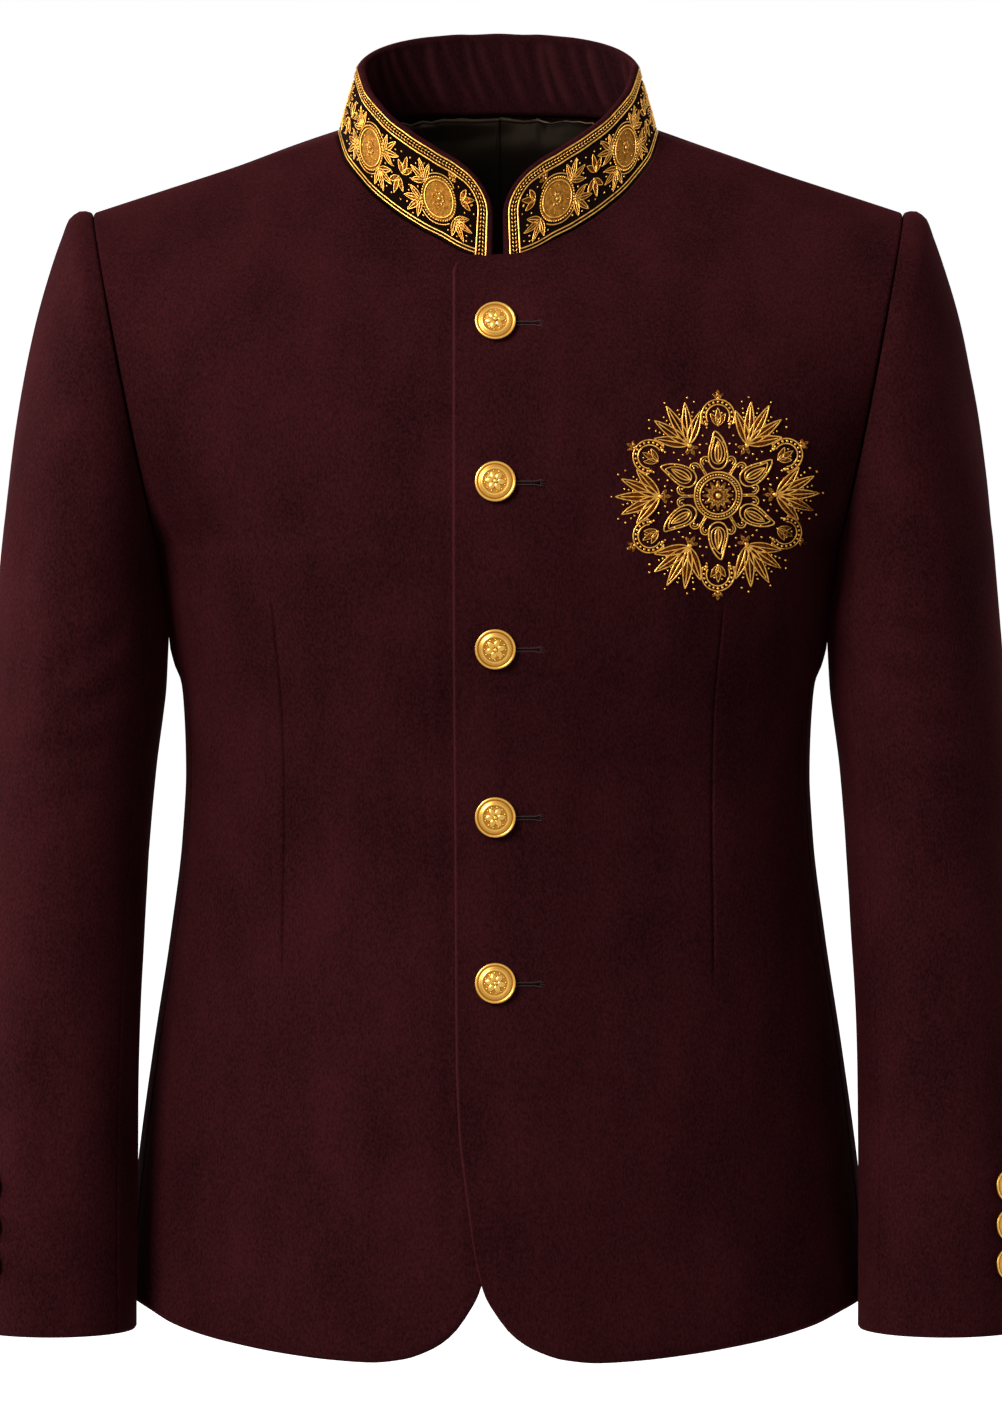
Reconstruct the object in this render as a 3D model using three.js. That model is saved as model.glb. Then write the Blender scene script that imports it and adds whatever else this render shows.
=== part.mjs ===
// A short bandhgala jacket, filled out with no wearer: hollow cloth, open at neck, hem and cuffs.
// Millimetres. +Z is up, the front faces -Y, and +X is the wearer's left.
// The origin is the centre of the neck opening, level with the two points where shoulder meets collar.
import * as THREE from "three";

// ---- cloth and seams ----
const CLOTH = 2.0; // wall of the napped suiting with its canvas
const LINING = 1.0; // satin lining wall
const FACING = 1.4; // inner collar wall
const SEAM = 0.3; // clearance between pieces that are sewn together
const OVERLAP = 22; // reach of the button side beyond the centre front, under the buttonhole side

// ---- body ----
const UNDERARM = { x: 195, y: 0, z: -238 };
const SHOULDER_TIP = { x: 231.6, y: -5, z: -46 };
const ARMHOLE_DEPTH = 62; // half of the armhole, front to back
const BODY_LENGTH = 430; // underarm to side hem

// ---- neck and collar ----
const COLLAR_CORNER = 21; // radius of the rounded front corners
const COLLAR_GAP = 6.4; // between the two collar ends
const NECK_SEAM = 0.7; // clearance inside the neckline, where short straight facets meet
const BRAID = { inset: 2.8, width: 5.8, baseInset: 1.2, baseWidth: 3.2, thick: 0.9 };

// ---- trims ----
const DISC = { radius: 11.8, thick: 1.5, first: 34, gaps: 4, high: 19.8 };
const CHEST_ROUND = { x: 124, z: -203, radius: 58, thick: 1.2, gap: 0.8 };
const BUTTON = { radius: 11.6, thick: 5.2, x: -1.5 };
const BUTTON_LEVELS = [-106.3, -194.6, -288, -384, -478];
const CUFF_BUTTON = { radius: 9, thick: 4.2, turn: 46 };
const CUFF_BUTTON_LEVELS = [-598, -620, -642];

// Half width and depths of the body from the underarm down; a and b square off the section at the
// centre line and at the side.
const BODY = [
  { z: -704, halfWidth: 218, front: 136, back: 127, a: 0.62, b: 0.5 },
  { z: -664, halfWidth: 214.5, front: 134, back: 126, a: 0.62, b: 0.5 },
  { z: -590, halfWidth: 207, front: 129, back: 120, a: 0.61, b: 0.51 },
  { z: -526, halfWidth: 198.4, front: 123, back: 111, a: 0.6, b: 0.52 },
  { z: -457, halfWidth: 187.7, front: 116, back: 97, a: 0.6, b: 0.53 },
  { z: -405, halfWidth: 181.1, front: 112.5, back: 90, a: 0.6, b: 0.54 },
  { z: -365, halfWidth: 179, front: 113, back: 89, a: 0.6, b: 0.55 },
  { z: -327, halfWidth: 180.5, front: 117, back: 93, a: 0.6, b: 0.56 },
  { z: -291, halfWidth: 186.3, front: 121.5, back: 99, a: 0.6, b: 0.58 },
  { z: -251, halfWidth: 192.4, front: 124.5, back: 107, a: 0.6, b: 0.6 },
  { z: -238, halfWidth: 195, front: 125, back: 109, a: 0.6, b: 0.6 },
];
// Each front row: climb runs 0 at the underarm to 1 at the shoulder seam, level and depth on the
// centre front, then how square the row is at the centre (a), at the armhole (b), and its slant (c).
const FRONT = [
  { climb: 0, z: -238, depth: 125, a: 0.6, b: 0.6, c: 0 },
  { climb: 0.16, z: -214, depth: 123, a: 0.51, b: 0.62, c: 0.12 },
  { climb: 0.33, z: -180, depth: 117.5, a: 0.48, b: 0.66, c: 0.16 },
  { climb: 0.5, z: -142, depth: 106.5, a: 0.45, b: 0.62, c: 0.19 },
  { climb: 0.67, z: -98, depth: 88, a: 0.42, b: 0.56, c: 0.24 },
  { climb: 0.78, z: -70.5, depth: 71.8, a: 0.38, b: 0.5, c: 0.28 },
  { climb: 0.85, z: -34.5, depth: 48.4, a: 0.36, b: 0.5, c: 0.3 },
  { climb: 0.92, z: -1, depth: 26.5, a: 0.34, b: 0.5, c: 0.32 },
  { climb: 1, z: 29, depth: 0, a: 0.33, b: 0.5, c: 0.33 },
  { climb: 1.08, z: -1, depth: -26.5, a: 0.34, b: 0.5, c: 0.32 },
];
const BACK = [
  { climb: 0, z: -238, depth: 109, a: 0.6, b: 0.6, c: 0 },
  { climb: 0.16, z: -208, depth: 112, a: 0.52, b: 0.6, c: 0.11 },
  { climb: 0.33, z: -168, depth: 113.5, a: 0.47, b: 0.62, c: 0.17 },
  { climb: 0.5, z: -118, depth: 108, a: 0.45, b: 0.62, c: 0.2 },
  { climb: 0.67, z: -62, depth: 93, a: 0.43, b: 0.58, c: 0.24 },
  { climb: 0.86, z: 10, depth: 60, a: 0.36, b: 0.5, c: 0.3 },
  { climb: 0.93, z: 24, depth: 30.7, a: 0.34, b: 0.5, c: 0.32 },
  { climb: 1, z: 29, depth: 0, a: 0.33, b: 0.5, c: 0.33 },
  { climb: 1.07, z: 24, depth: -30.7, a: 0.34, b: 0.5, c: 0.32 },
];
// Above these the rows run on to the centre line only to shape the cloth, which stops at the neckline.
const NECK_CLIMB = { front: 0.78, back: 0.86 };
const NECK_FRONT = -70.5; // level of the neckline at the centre front
// The neckline from above: its radius at each turn from centre front round to centre back, with the
// collar's rise over it and its lean towards the neck.
const NECKLINE = [
  { turn: 0, radius: 71.8, rise: 46, lean: 15 },
  { turn: 24, radius: 71.6, rise: 46.2, lean: 15 },
  { turn: 37, radius: 74.3, rise: 46, lean: 14.5 },
  { turn: 50, radius: 79.2, rise: 44.6, lean: 13.5 },
  { turn: 63, radius: 85.6, rise: 42.6, lean: 12.5 },
  { turn: 76, radius: 90.6, rise: 41, lean: 12 },
  { turn: 90, radius: 92, rise: 40.2, lean: 11.5 },
  { turn: 101, radius: 91, rise: 41.4, lean: 11 },
  { turn: 112, radius: 86.5, rise: 42.8, lean: 10.5 },
  { turn: 124, radius: 79.2, rise: 44.2, lean: 10 },
  { turn: 139, radius: 70.9, rise: 45.4, lean: 10 },
  { turn: 158, radius: 63.5, rise: 46.3, lean: 10 },
  { turn: 180, radius: 60, rise: 46.3, lean: 10 },
];
// The buttonhole side's front edge: its reach past the centre front at each level.
const FRONT_EDGE = [
  { z: -659.5, x: -4.5 },
  { z: -654.5, x: -7.1 },
  { z: -645, x: -10.2 },
  { z: -627, x: -14 },
  { z: -609, x: -16.5 },
  { z: -585, x: -19.7 },
  { z: -559, x: -22.4 },
  { z: -520, x: -23.8 },
  { z: -430, x: -24.4 },
  { z: -205, x: -25.6 },
  { z: -40, x: -25.6 },
];
const HEM_CORNER = { x: -4.5, z: -659.5 }; // middle of the rounded front corner
const UNDER_SHIFT = 18.6; // how far the button side's corner stands back from the other
const FRONT_HEM = [
  { x: -4.5, z: -659.5 },
  { x: 4, z: -671.8 },
  { x: 9.6, z: -677.5 },
  { x: 15.3, z: -681.7 },
  { x: 22.5, z: -685.5 },
  { x: 37, z: -690.3 },
  { x: 57, z: -692.5 },
  { x: 80, z: -691.7 },
  { x: 112, z: -689 },
  { x: 135, z: -686.2 },
  { x: 158, z: -682.8 },
  { x: 181, z: -678 },
  { x: 199, z: -671.8 },
  { x: 216, z: -667 },
];
const SIDE_HEM = -667;
const SIDE_SEAM_HEM = -668.4; // where the side meets the front
const BACK_HEM = -665;
// The sleeve's rings from the armhole to the cuff: outermost and innermost points of each ring, the
// place of its middle along Y, and its half depth. The first ring is the armhole itself.
const SLEEVE = [
  { outX: 231.6, outZ: -46, inX: 195, inZ: -238, midY: -2.5, depth: 62 },
  { outX: 238, outZ: -44.6, inX: 195.2, inZ: -240, midY: -2.5, depth: 64.5 },
  { outX: 245, outZ: -48.6, inX: 195, inZ: -242.5, midY: -2.5, depth: 67 },
  { outX: 250, outZ: -61, inX: 194.7, inZ: -245, midY: -2.5, depth: 69 },
  { outX: 257, outZ: -82, inX: 194.4, inZ: -247.5, midY: -2.2, depth: 71 },
  { outX: 264.5, outZ: -108, inX: 194.1, inZ: -250, midY: -2, depth: 72.5 },
  { outX: 271.5, outZ: -140, inX: 193.6, inZ: -253, midY: -1.5, depth: 73.5 },
  { outX: 278, outZ: -178, inX: 192.6, inZ: -258, midY: -1, depth: 74 },
  { outX: 283.5, outZ: -218, inX: 191, inZ: -265, midY: -1, depth: 73.5 },
  { outX: 287.5, outZ: -262, inX: 188.8, inZ: -280, midY: -2, depth: 72 },
  { outX: 291.5, outZ: -312, inX: 190.3, inZ: -316, midY: -4, depth: 69 },
  { outX: 295.5, outZ: -364, inX: 196, inZ: -364, midY: -8, depth: 65 },
  { outX: 298, outZ: -412, inX: 200, inZ: -412, midY: -13, depth: 61 },
  { outX: 299.5, outZ: -455, inX: 202.4, inZ: -455, midY: -18.5, depth: 57.5 },
  { outX: 300.8, outZ: -505, inX: 205, inZ: -505, midY: -26, depth: 54.5 },
  { outX: 301.8, outZ: -560, inX: 206.4, inZ: -560, midY: -35, depth: 51.5 },
  { outX: 302.4, outZ: -620, inX: 206.8, inZ: -620, midY: -45, depth: 49 },
  { outX: 302.4, outZ: -682, inX: 206.6, inZ: -682, midY: -53, depth: 47 },
];
const FOREARM_SEAM = 142; // turn of the front sleeve seam, from outermost (0) through the front (90)
const HINDARM_SEAM = -62; // and of the back one

const RADIAN = Math.PI / 180;
const mix = (a, b, t) => a + (b - a) * t;
const clamp = (t) => Math.min(1, Math.max(0, t));
const soft = (t) => clamp(t) ** 2 * (3 - 2 * clamp(t));
const vec = (x, y, z) => new THREE.Vector3(x, y, z);
const mirrorX = (p) => vec(-p.x, p.y, p.z);

// A column of a table at a value of its key, on smooth curves through the rows that never overshoot.
function read(table, key, column, at) {
  const last = table.length - 1;
  if (at <= table[0][key]) return table[0][column];
  if (at >= table[last][key]) return table[last][column];
  let i = 0;
  while (table[i + 1][key] < at) i += 1;
  const step = (j) => table[j + 1][key] - table[j][key];
  const slope = (j) => (table[j + 1][column] - table[j][column]) / step(j);
  const tangent = (j) => {
    if (j === 0) return slope(0);
    if (j === last) return slope(last - 1);
    const before = slope(j - 1);
    const after = slope(j);
    return before * after <= 0 ? 0 : (2 * before * after) / (before + after);
  };
  const t = (at - table[i][key]) / step(i);
  const rise = table[i + 1][column] - table[i][column];
  const bendIn = tangent(i) * step(i);
  const bendOut = tangent(i + 1) * step(i);
  return (
    table[i][column] +
    bendIn * t +
    (3 * rise - 2 * bendIn - bendOut) * t * t +
    (bendIn + bendOut - 2 * rise) * t ** 3
  );
}

// ---- body surface ----
// A point of the armhole, turn 180 at the underarm, 90 at the front, 0 at the shoulder tip.
function armhole(turn) {
  const up = (1 + Math.cos(turn * RADIAN)) / 2;
  return vec(
    mix(UNDERARM.x, SHOULDER_TIP.x, up),
    mix(UNDERARM.y, SHOULDER_TIP.y, up) - ARMHOLE_DEPTH * Math.sin(turn * RADIAN),
    mix(UNDERARM.z, SHOULDER_TIP.z, up),
  );
}

// The body's right half of plan, on the wearer's left: face is -1 for the front and 1 for the back,
// u runs 0 at the centre line to 1 at the side, and climb is below 0 under the armhole.
function body(face, u, climb) {
  if (u < 0) return mirrorX(body(face, -u, climb));
  const rows = face < 0 ? FRONT : BACK;
  const leave = face < 0 ? NECK_CLIMB.front : NECK_CLIMB.back;
  let inner;
  let outer;
  let square;
  let slope = 0;
  if (climb <= 0) {
    const z = UNDERARM.z + climb * BODY_LENGTH;
    const depth = read(BODY, "z", face < 0 ? "front" : "back", z);
    square = { a: read(BODY, "z", "a", z), b: read(BODY, "z", "b", z), c: 0 };
    inner = vec(0, face * depth, z);
    outer = vec(read(BODY, "z", "halfWidth", z), 0, z);
  } else {
    outer = armhole(180 + face * climb * 180);
    square = {};
    for (const k of ["a", "b", "c"]) square[k] = read(rows, "climb", k, climb);
    slope = soft((climb - leave) / (1 - leave)) / 3;
    inner = vec(0, face * read(rows, "climb", "depth", climb), read(rows, "climb", "z", climb));
  }
  const start = vec(mix(inner.x, outer.x, square.a), inner.y, mix(inner.z, outer.z, slope));
  const end = vec(
    mix(outer.x, inner.x, square.c),
    mix(outer.y, inner.y, square.b),
    mix(inner.z, outer.z, 2 / 3),
  );
  const v = 1 - u;
  return vec(0, 0, 0)
    .addScaledVector(inner, v ** 3)
    .addScaledVector(start, 3 * v * v * u)
    .addScaledVector(end, 3 * v * u * u)
    .addScaledVector(outer, u ** 3);
}

// The outward normal and the two speeds of a surface given as a function of two numbers.
function shapeAt(surface, p, q, step = 1e-3) {
  const alongP = surface(p + step, q).sub(surface(p - step, q)).divideScalar(2 * step);
  const alongQ = surface(p, q + step).sub(surface(p, q - step)).divideScalar(2 * step);
  const normal = alongP.clone().cross(alongQ).normalize();
  return { normal, speedP: alongP.length(), speedQ: alongQ.length() };
}

// The place of u at a given reach across one row of the body.
function reachOf(face, x, climb) {
  let low = -0.5;
  let high = 1;
  for (let i = 0; i < 24; i += 1) {
    const middle = (low + high) / 2;
    if (body(face, middle, climb).x < x) low = middle;
    else high = middle;
  }
  return (low + high) / 2;
}

// The place on a face where two of its coordinates have given values, stepped to from a first guess.
function placeOf(face, guess, across, wantAcross, rising, wantRising) {
  let { u, climb } = guess;
  for (let i = 0; i < 14; i += 1) {
    const here = body(face, u, climb);
    const byU = body(face, u + 1e-4, climb).sub(here).multiplyScalar(1e4);
    const byClimb = body(face, u, climb + 1e-4).sub(here).multiplyScalar(1e4);
    const a = wantAcross - here[across];
    const b = wantRising - here[rising];
    const scale = byU[across] * byClimb[rising] - byU[rising] * byClimb[across];
    u += (a * byClimb[rising] - b * byClimb[across]) / scale;
    climb += (b * byU[across] - a * byU[rising]) / scale;
  }
  return { u, climb };
}

// The neckline at a turn: its place on the front or the back, and the point there.
function neckSpot(turn) {
  const face = turn <= 90 ? -1 : 1;
  const radius = read(NECKLINE, "turn", "radius", turn);
  const x = radius * Math.sin(turn * RADIAN);
  const y = -radius * Math.cos(turn * RADIAN);
  const along = face < 0 ? turn / 90 : 2 - turn / 90;
  const leave = face < 0 ? NECK_CLIMB.front : NECK_CLIMB.back;
  const guess = { u: 0.38 * Math.sin(turn * RADIAN), climb: mix(leave, 1, along) };
  const spot = placeOf(face, guess, "x", x, "y", y);
  return { ...spot, face, point: body(face, spot.u, spot.climb) };
}

// ---- closed walls ----
// A wall between an outer and an inner grid of points, closed round its four edges.
// Seen from outside, columns run to the right and rows run up. The strip right of a split column is
// left open: both its sides hold the same points up to the row where the wall parts.
function wall(outer, inner, split) {
  const rows = outer.length;
  const columns = outer[0].length;
  const WELD = 1e-4;
  const points = [...outer.flat(), ...inner.flat()];
  const at = (layer, r, c) => layer * rows * columns + r * columns + c;
  const faces = [];
  const quad = (a, b, c, d) => faces.push(a, b, c, a, c, d);
  const leftSide = (r, c) => quad(at(0, r, c), at(0, r + 1, c), at(1, r + 1, c), at(1, r, c));
  const rightSide = (r, c) => quad(at(0, r + 1, c), at(0, r, c), at(1, r, c), at(1, r + 1, c));
  for (let c = 0; c < columns - 1; c += 1) {
    if (c === split) continue;
    for (let r = 0; r < rows - 1; r += 1) {
      quad(at(0, r, c), at(0, r, c + 1), at(0, r + 1, c + 1), at(0, r + 1, c));
      quad(at(1, r, c), at(1, r + 1, c), at(1, r + 1, c + 1), at(1, r, c + 1));
    }
    quad(at(0, 0, c + 1), at(0, 0, c), at(1, 0, c), at(1, 0, c + 1));
    quad(at(0, rows - 1, c), at(0, rows - 1, c + 1), at(1, rows - 1, c + 1), at(1, rows - 1, c));
  }
  for (let r = 0; r < rows - 1; r += 1) {
    leftSide(r, 0);
    rightSide(r, columns - 1);
    if (split === undefined || outer[r + 1][split].distanceTo(outer[r + 1][split + 1]) < WELD) continue;
    rightSide(r, split);
    leftSide(r, split + 1);
  }
  const shape = new THREE.BufferGeometry().setFromPoints(points);
  shape.setIndex(faces);
  return shape;
}

// A wall from one function that gives, for a row and a column, a point and its outward normal.
function clothWall(rows, columns, place, thick, split) {
  const grid = rows.map((r) => columns.map((c) => place(r, c)));
  const outer = grid.map((line) => line.map((s) => s.point));
  const inner = grid.map((line) => line.map((s) => s.point.clone().addScaledVector(s.normal, -thick)));
  return wall(outer, inner, split);
}

// The same wall on the other side of the body: every column swaps ends.
function mirrored(place) {
  return (r, c) => {
    const s = place(r, 1 - c);
    return { point: mirrorX(s.point), normal: mirrorX(s.normal) };
  };
}

const steps = (count) => Array.from({ length: count + 1 }, (_, i) => i / count);

// ---- torso panels ----
const SIDE_SEAM = { front: 0.875, back: 0.8, frontTop: 0.16, backTop: 0.26 };
const climbOf = (z) => (z - UNDERARM.z) / BODY_LENGTH;

// How far across the body the side seam stands; it turns into the armhole at its top.
function sideSeam(face, climb) {
  const at = face < 0 ? SIDE_SEAM.front : SIDE_SEAM.back;
  const top = face < 0 ? SIDE_SEAM.frontTop : SIDE_SEAM.backTop;
  return 1 - (1 - at) * clamp(1 - climb / top);
}

// A place on the body with its normal, moved out by lift, with columns to the right seen from outside.
function bodyPlace(face, u, climb, lift = 0) {
  const surface = (p, q) => body(face, p, q);
  const safe = Math.min(climb, 1 - 2e-3);
  const near = shapeAt(surface, Math.min(u, 1 - 2e-3), safe);
  const normal = face < 0 ? near.normal : near.normal.negate();
  const point = body(face, u, climb).addScaledVector(normal, lift);
  return { point, normal, speedP: near.speedP, speedQ: near.speedQ };
}

// The buttonhole side lies over the button side near the centre front.
const overLift = (x, climb) =>
  (CLOTH + SEAM) * (1 - soft((x - 30) / 30)) * (1 - soft((climb - NECK_CLIMB.front) / 0.04));

const HEM_ZONE = -560;
const NECK_TURNS = { front: [7, 14, 26, 38, 50, 62, 76], back: [168, 155, 142, 129, 116, 103] };
const SHOULDER_TURN = 89.2; // where the shoulder seam meets the neckline
const SHOULDER_ROW = { climb: 1, u: neckSpot(SHOULDER_TURN).u };
const BODY_LEVELS = [-518, -478, -430, -384, -342, -305, -270, -238];
const FRONT_ROWS = [
  ...[0, 0.1, 0.24, 0.42, 0.65, 1].map((rise) => ({ rise })),
  ...BODY_LEVELS.map((z) => ({ climb: climbOf(z) })),
  ...[0.08, 0.16, 0.25, 0.36, 0.48, 0.6, 0.7, 0.753, 0.77].map((climb) => ({ climb })),
  { climb: NECK_CLIMB.front },
  ...[1, ...NECK_TURNS.front].map(neckSpot),
  SHOULDER_ROW,
];
const FRONT_COLUMNS = [0, 0.035, 0.08, 0.14, 0.22, 0.34, 0.48, 0.64, 0.8, 0.91, 1];

// One front: over is true on the buttonhole side. Its edge reaches past the centre front up to the
// neckline, with a small rounded corner on top and a large one at the hem.
function frontPlace(over) {
  const cornerRadius = 8;
  const edgeAt = (z) => {
    const reach = read(FRONT_EDGE, "z", "x", z);
    return over ? reach : mix(reach + UNDER_SHIFT, -OVERLAP, soft((z + 650) / 120));
  };
  const shift = over ? 0 : UNDER_SHIFT;
  return (row, column) => {
    let climb = row.climb;
    if (row.rise !== undefined) {
      const low = reachOf(-1, HEM_CORNER.x + shift, climbOf(HEM_CORNER.z));
      const across = body(-1, mix(low, sideSeam(-1, climbOf(-670)), column), climbOf(-670)).x;
      const hem = read(FRONT_HEM, "x", "z", across - shift * (1 - column));
      climb = climbOf(mix(hem, HEM_ZONE, row.rise));
    }
    const z = body(-1, 0, Math.min(climb, NECK_CLIMB.front)).z;
    let start = row.u;
    if (start === undefined) {
      const below = Math.max(0, NECK_FRONT - z);
      const short = Math.max(0, cornerRadius - below);
      const round = cornerRadius - Math.sqrt(cornerRadius ** 2 - short ** 2);
      start = reachOf(-1, edgeAt(z) + round, climb);
    }
    const end = climb < SIDE_SEAM.frontTop ? sideSeam(-1, climb) : 1;
    let u = mix(start, end, column);
    const near = bodyPlace(-1, u, climb);
    if (column === 1 && climb < SIDE_SEAM.frontTop) u -= SEAM / 2 / near.speedP;
    if (climb === 1) climb -= SEAM / 2 / near.speedQ;
    return bodyPlace(-1, u, climb, over ? overLift(body(-1, u, climb).x, climb) : 0);
  };
}

const BACK_ROWS = [BACK_HEM, -610, HEM_ZONE, ...BODY_LEVELS]
  .map(climbOf)
  .concat([0.13, 0.26, 0.36, 0.48, 0.6, 0.73, NECK_CLIMB.back])
  .map((climb) => ({ climb, u: 0 }))
  .concat(NECK_TURNS.back.map(neckSpot), SHOULDER_ROW);
const BACK_COLUMNS = steps(8);

function backPlace(climbTop, gap, lift) {
  return (row, column) => {
    const { climb } = row;
    const end = climb < SIDE_SEAM.backTop ? sideSeam(1, climb) : 1;
    let u = mix(row.u, end, 1 - column);
    let level = Math.min(climb, climbTop);
    const near = bodyPlace(1, u, level);
    if (column === 1) u += gap / 2 / near.speedP;
    if (column === 0 && climb < SIDE_SEAM.backTop) u -= gap / 2 / near.speedP;
    if (climb === 1) level -= gap / 2 / near.speedQ;
    return bodyPlace(1, u, level, lift);
  };
}

// The side body, from the front seam round under the arm to the back seam.
const SIDE_ROWS = [
  ...[0, 0.5, 1].map((rise) => ({ rise })),
  ...BODY_LEVELS.map((z) => ({ z })),
  ...[0.5, 1].map((share) => ({ share })),
];
function sidePlace(row, column) {
  const face = column < 0.5 ? -1 : 1;
  const away = Math.abs(1 - 2 * column); // 1 at either seam, 0 at the middle of the side
  const top = away * (face < 0 ? SIDE_SEAM.frontTop : SIDE_SEAM.backTop);
  const seam = face < 0 ? SIDE_SEAM.front : SIDE_SEAM.back;
  let climb = row.share === undefined ? climbOf(row.z) : top * row.share;
  if (row.rise !== undefined) {
    const hem = face < 0 ? mix(SIDE_HEM, SIDE_SEAM_HEM, away) : mix(SIDE_HEM, BACK_HEM, away);
    climb = climbOf(mix(hem, HEM_ZONE, row.rise));
  }
  const narrowing = climb > 0 && top > 0 ? 1 - climb / top : 1;
  let u = 1 - (1 - seam) * away * clamp(narrowing);
  const near = bodyPlace(face, u, climb);
  if (away === 1) u += SEAM / 2 / near.speedP;
  return bodyPlace(face, Math.min(u, 1), climb);
}

// ---- sleeves ----
function sleevePoint(turn, ring) {
  const at = (column) => read(SLEEVE_RINGS, "ring", column, ring);
  const out = Math.cos(turn * RADIAN);
  const half = (1 + out) / 2;
  const tip = out * Math.max(0, 1 - ring) * (SHOULDER_TIP.y / 2); // the armhole leans to the front
  return vec(
    mix(at("inX"), at("outX"), half),
    at("midY") + tip - at("depth") * Math.sin(turn * RADIAN),
    mix(at("inZ"), at("outZ"), half),
  );
}
const SLEEVE_RINGS = SLEEVE.map((row, ring) => ({ ring, ...row }));
const RINGS = SLEEVE.map((_, i) => i).flatMap((i) => (i === 1 ? [0.4, 1] : [i]));

const ARMHOLE_CLEAR = vec(SEAM + 0.05, 0, -0.07); // square to the armhole
// Part of the sleeve between two seams; its first ring stands clear of the armhole.
function sleevePlace(from, to) {
  return (ring, column) => {
    const turn = mix(from, to, column);
    const near = shapeAt(sleevePoint, turn, Math.max(ring, 0.02), 0.01);
    const normal = near.normal.clone();
    const inset = column === 0 ? -1 : column === 1 ? 1 : 0;
    const point = sleevePoint(turn + (inset * 0.9 * SEAM) / near.speedP, ring);
    if (ring === 0) point.add(ARMHOLE_CLEAR);
    return { point, normal };
  };
}

// ---- collar ----
// A point of the collar at a turn from the centre front, and a share of its height.
function collarAt(turn, share) {
  const base = neckSpot(turn).point;
  const inward = vec(-Math.sin(turn * RADIAN), Math.cos(turn * RADIAN), 0);
  const lean = read(NECKLINE, "turn", "lean", turn);
  base.z += share * read(NECKLINE, "turn", "rise", turn);
  return base.addScaledVector(inward, NECK_SEAM + share * lean + 1.2 * share * (1 - share));
}

// Distance along the middle of the collar against turn, measured from the centre front.
const COLLAR_RUN = [];
{
  let run = 0;
  let before = collarAt(0, 0.5);
  for (let turn = 0; turn <= 180; turn += 2) {
    const here = collarAt(turn, 0.5);
    run += here.distanceTo(before);
    before = here;
    COLLAR_RUN.push({ run, turn });
  }
}
const HALF_COLLAR = COLLAR_RUN.at(-1).run - COLLAR_GAP / 2;
const COLLAR_HEIGHT = 45;

// A place on the collar: along is the distance from the end at the wearer's left round to the other
// end, and high is the height over the neck seam.
function collarPlace(along, high, lift = 0) {
  const surface = (p, q) => {
    const near = p <= HALF_COLLAR ? 1 : -1;
    const run = COLLAR_GAP / 2 + (near > 0 ? p : 2 * HALF_COLLAR - p);
    const point = collarAt(read(COLLAR_RUN, "run", "turn", run), q / COLLAR_HEIGHT);
    return near > 0 ? point : mirrorX(point);
  };
  const { normal } = shapeAt(surface, along, high, 0.05);
  const point = surface(along, high).addScaledVector(normal, lift);
  if (along === HALF_COLLAR) normal.x = 0;
  return { point, normal: normal.normalize() };
}

// The collar's height at a distance from its nearer end, inset from the edge all round.
function collarTop(along, inset = 0) {
  const fromEnd = Math.min(along, 2 * HALF_COLLAR - along) - inset;
  const radius = COLLAR_CORNER - inset;
  const short = Math.max(0, radius - fromEnd);
  return COLLAR_HEIGHT - inset - (radius - Math.sqrt(Math.max(0, radius ** 2 - short ** 2)));
}

const CORNER_RUN = steps(4).map((t) => COLLAR_CORNER * (1 - Math.cos((t * Math.PI) / 2)));
const NECK_ROUND = [...NECK_TURNS.front.slice(2), SHOULDER_TURN, ...NECK_TURNS.back.toReversed()];
const HALF_COLUMNS = NECK_ROUND.map((turn) => read(COLLAR_RUN, "turn", "run", turn) - COLLAR_GAP / 2);
const otherEnd = (run) => 2 * HALF_COLLAR - run;
const COLLAR_COLUMNS = [
  ...CORNER_RUN,
  ...HALF_COLUMNS,
  HALF_COLLAR,
  ...HALF_COLUMNS.map(otherEnd).reverse(),
  ...CORNER_RUN.map(otherEnd).reverse(),
];

function collarWall(rows, lift, thick, inset) {
  const place = (share, along) => {
    const held = Math.min(Math.max(along, inset), 2 * HALF_COLLAR - inset);
    return collarPlace(held, mix(SEAM, collarTop(held, inset), share), lift);
  };
  return clothWall(rows, COLLAR_COLUMNS, place, thick);
}

// The broad braid follows the collar's edge: up one end, round the rim and down the other end.
function edgeLine(inset) {
  const radius = COLLAR_CORNER - inset;
  const line = [];
  const straight = COLLAR_HEIGHT - COLLAR_CORNER;
  for (const t of steps(3)) line.push([inset, mix(0.4, straight, t)]);
  for (const t of steps(5).slice(1)) {
    const turn = (t * Math.PI) / 2;
    line.push([COLLAR_CORNER - radius * Math.cos(turn), straight + radius * Math.sin(turn)]);
  }
  for (const run of [...HALF_COLUMNS, HALF_COLLAR]) line.push([run, COLLAR_HEIGHT - inset]);
  const back = line.slice(0, -1).reverse();
  return [...line, ...back.map(([along, high]) => [otherEnd(along), high])];
}

function braidWall(lines, lift, thick) {
  const place = (row, column) => {
    const [along, high] = lines[row][column];
    return collarPlace(along, high, lift + thick);
  };
  const columns = lines[0].map((_, i) => i);
  return clothWall([0, 1], columns, place, thick);
}

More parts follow.
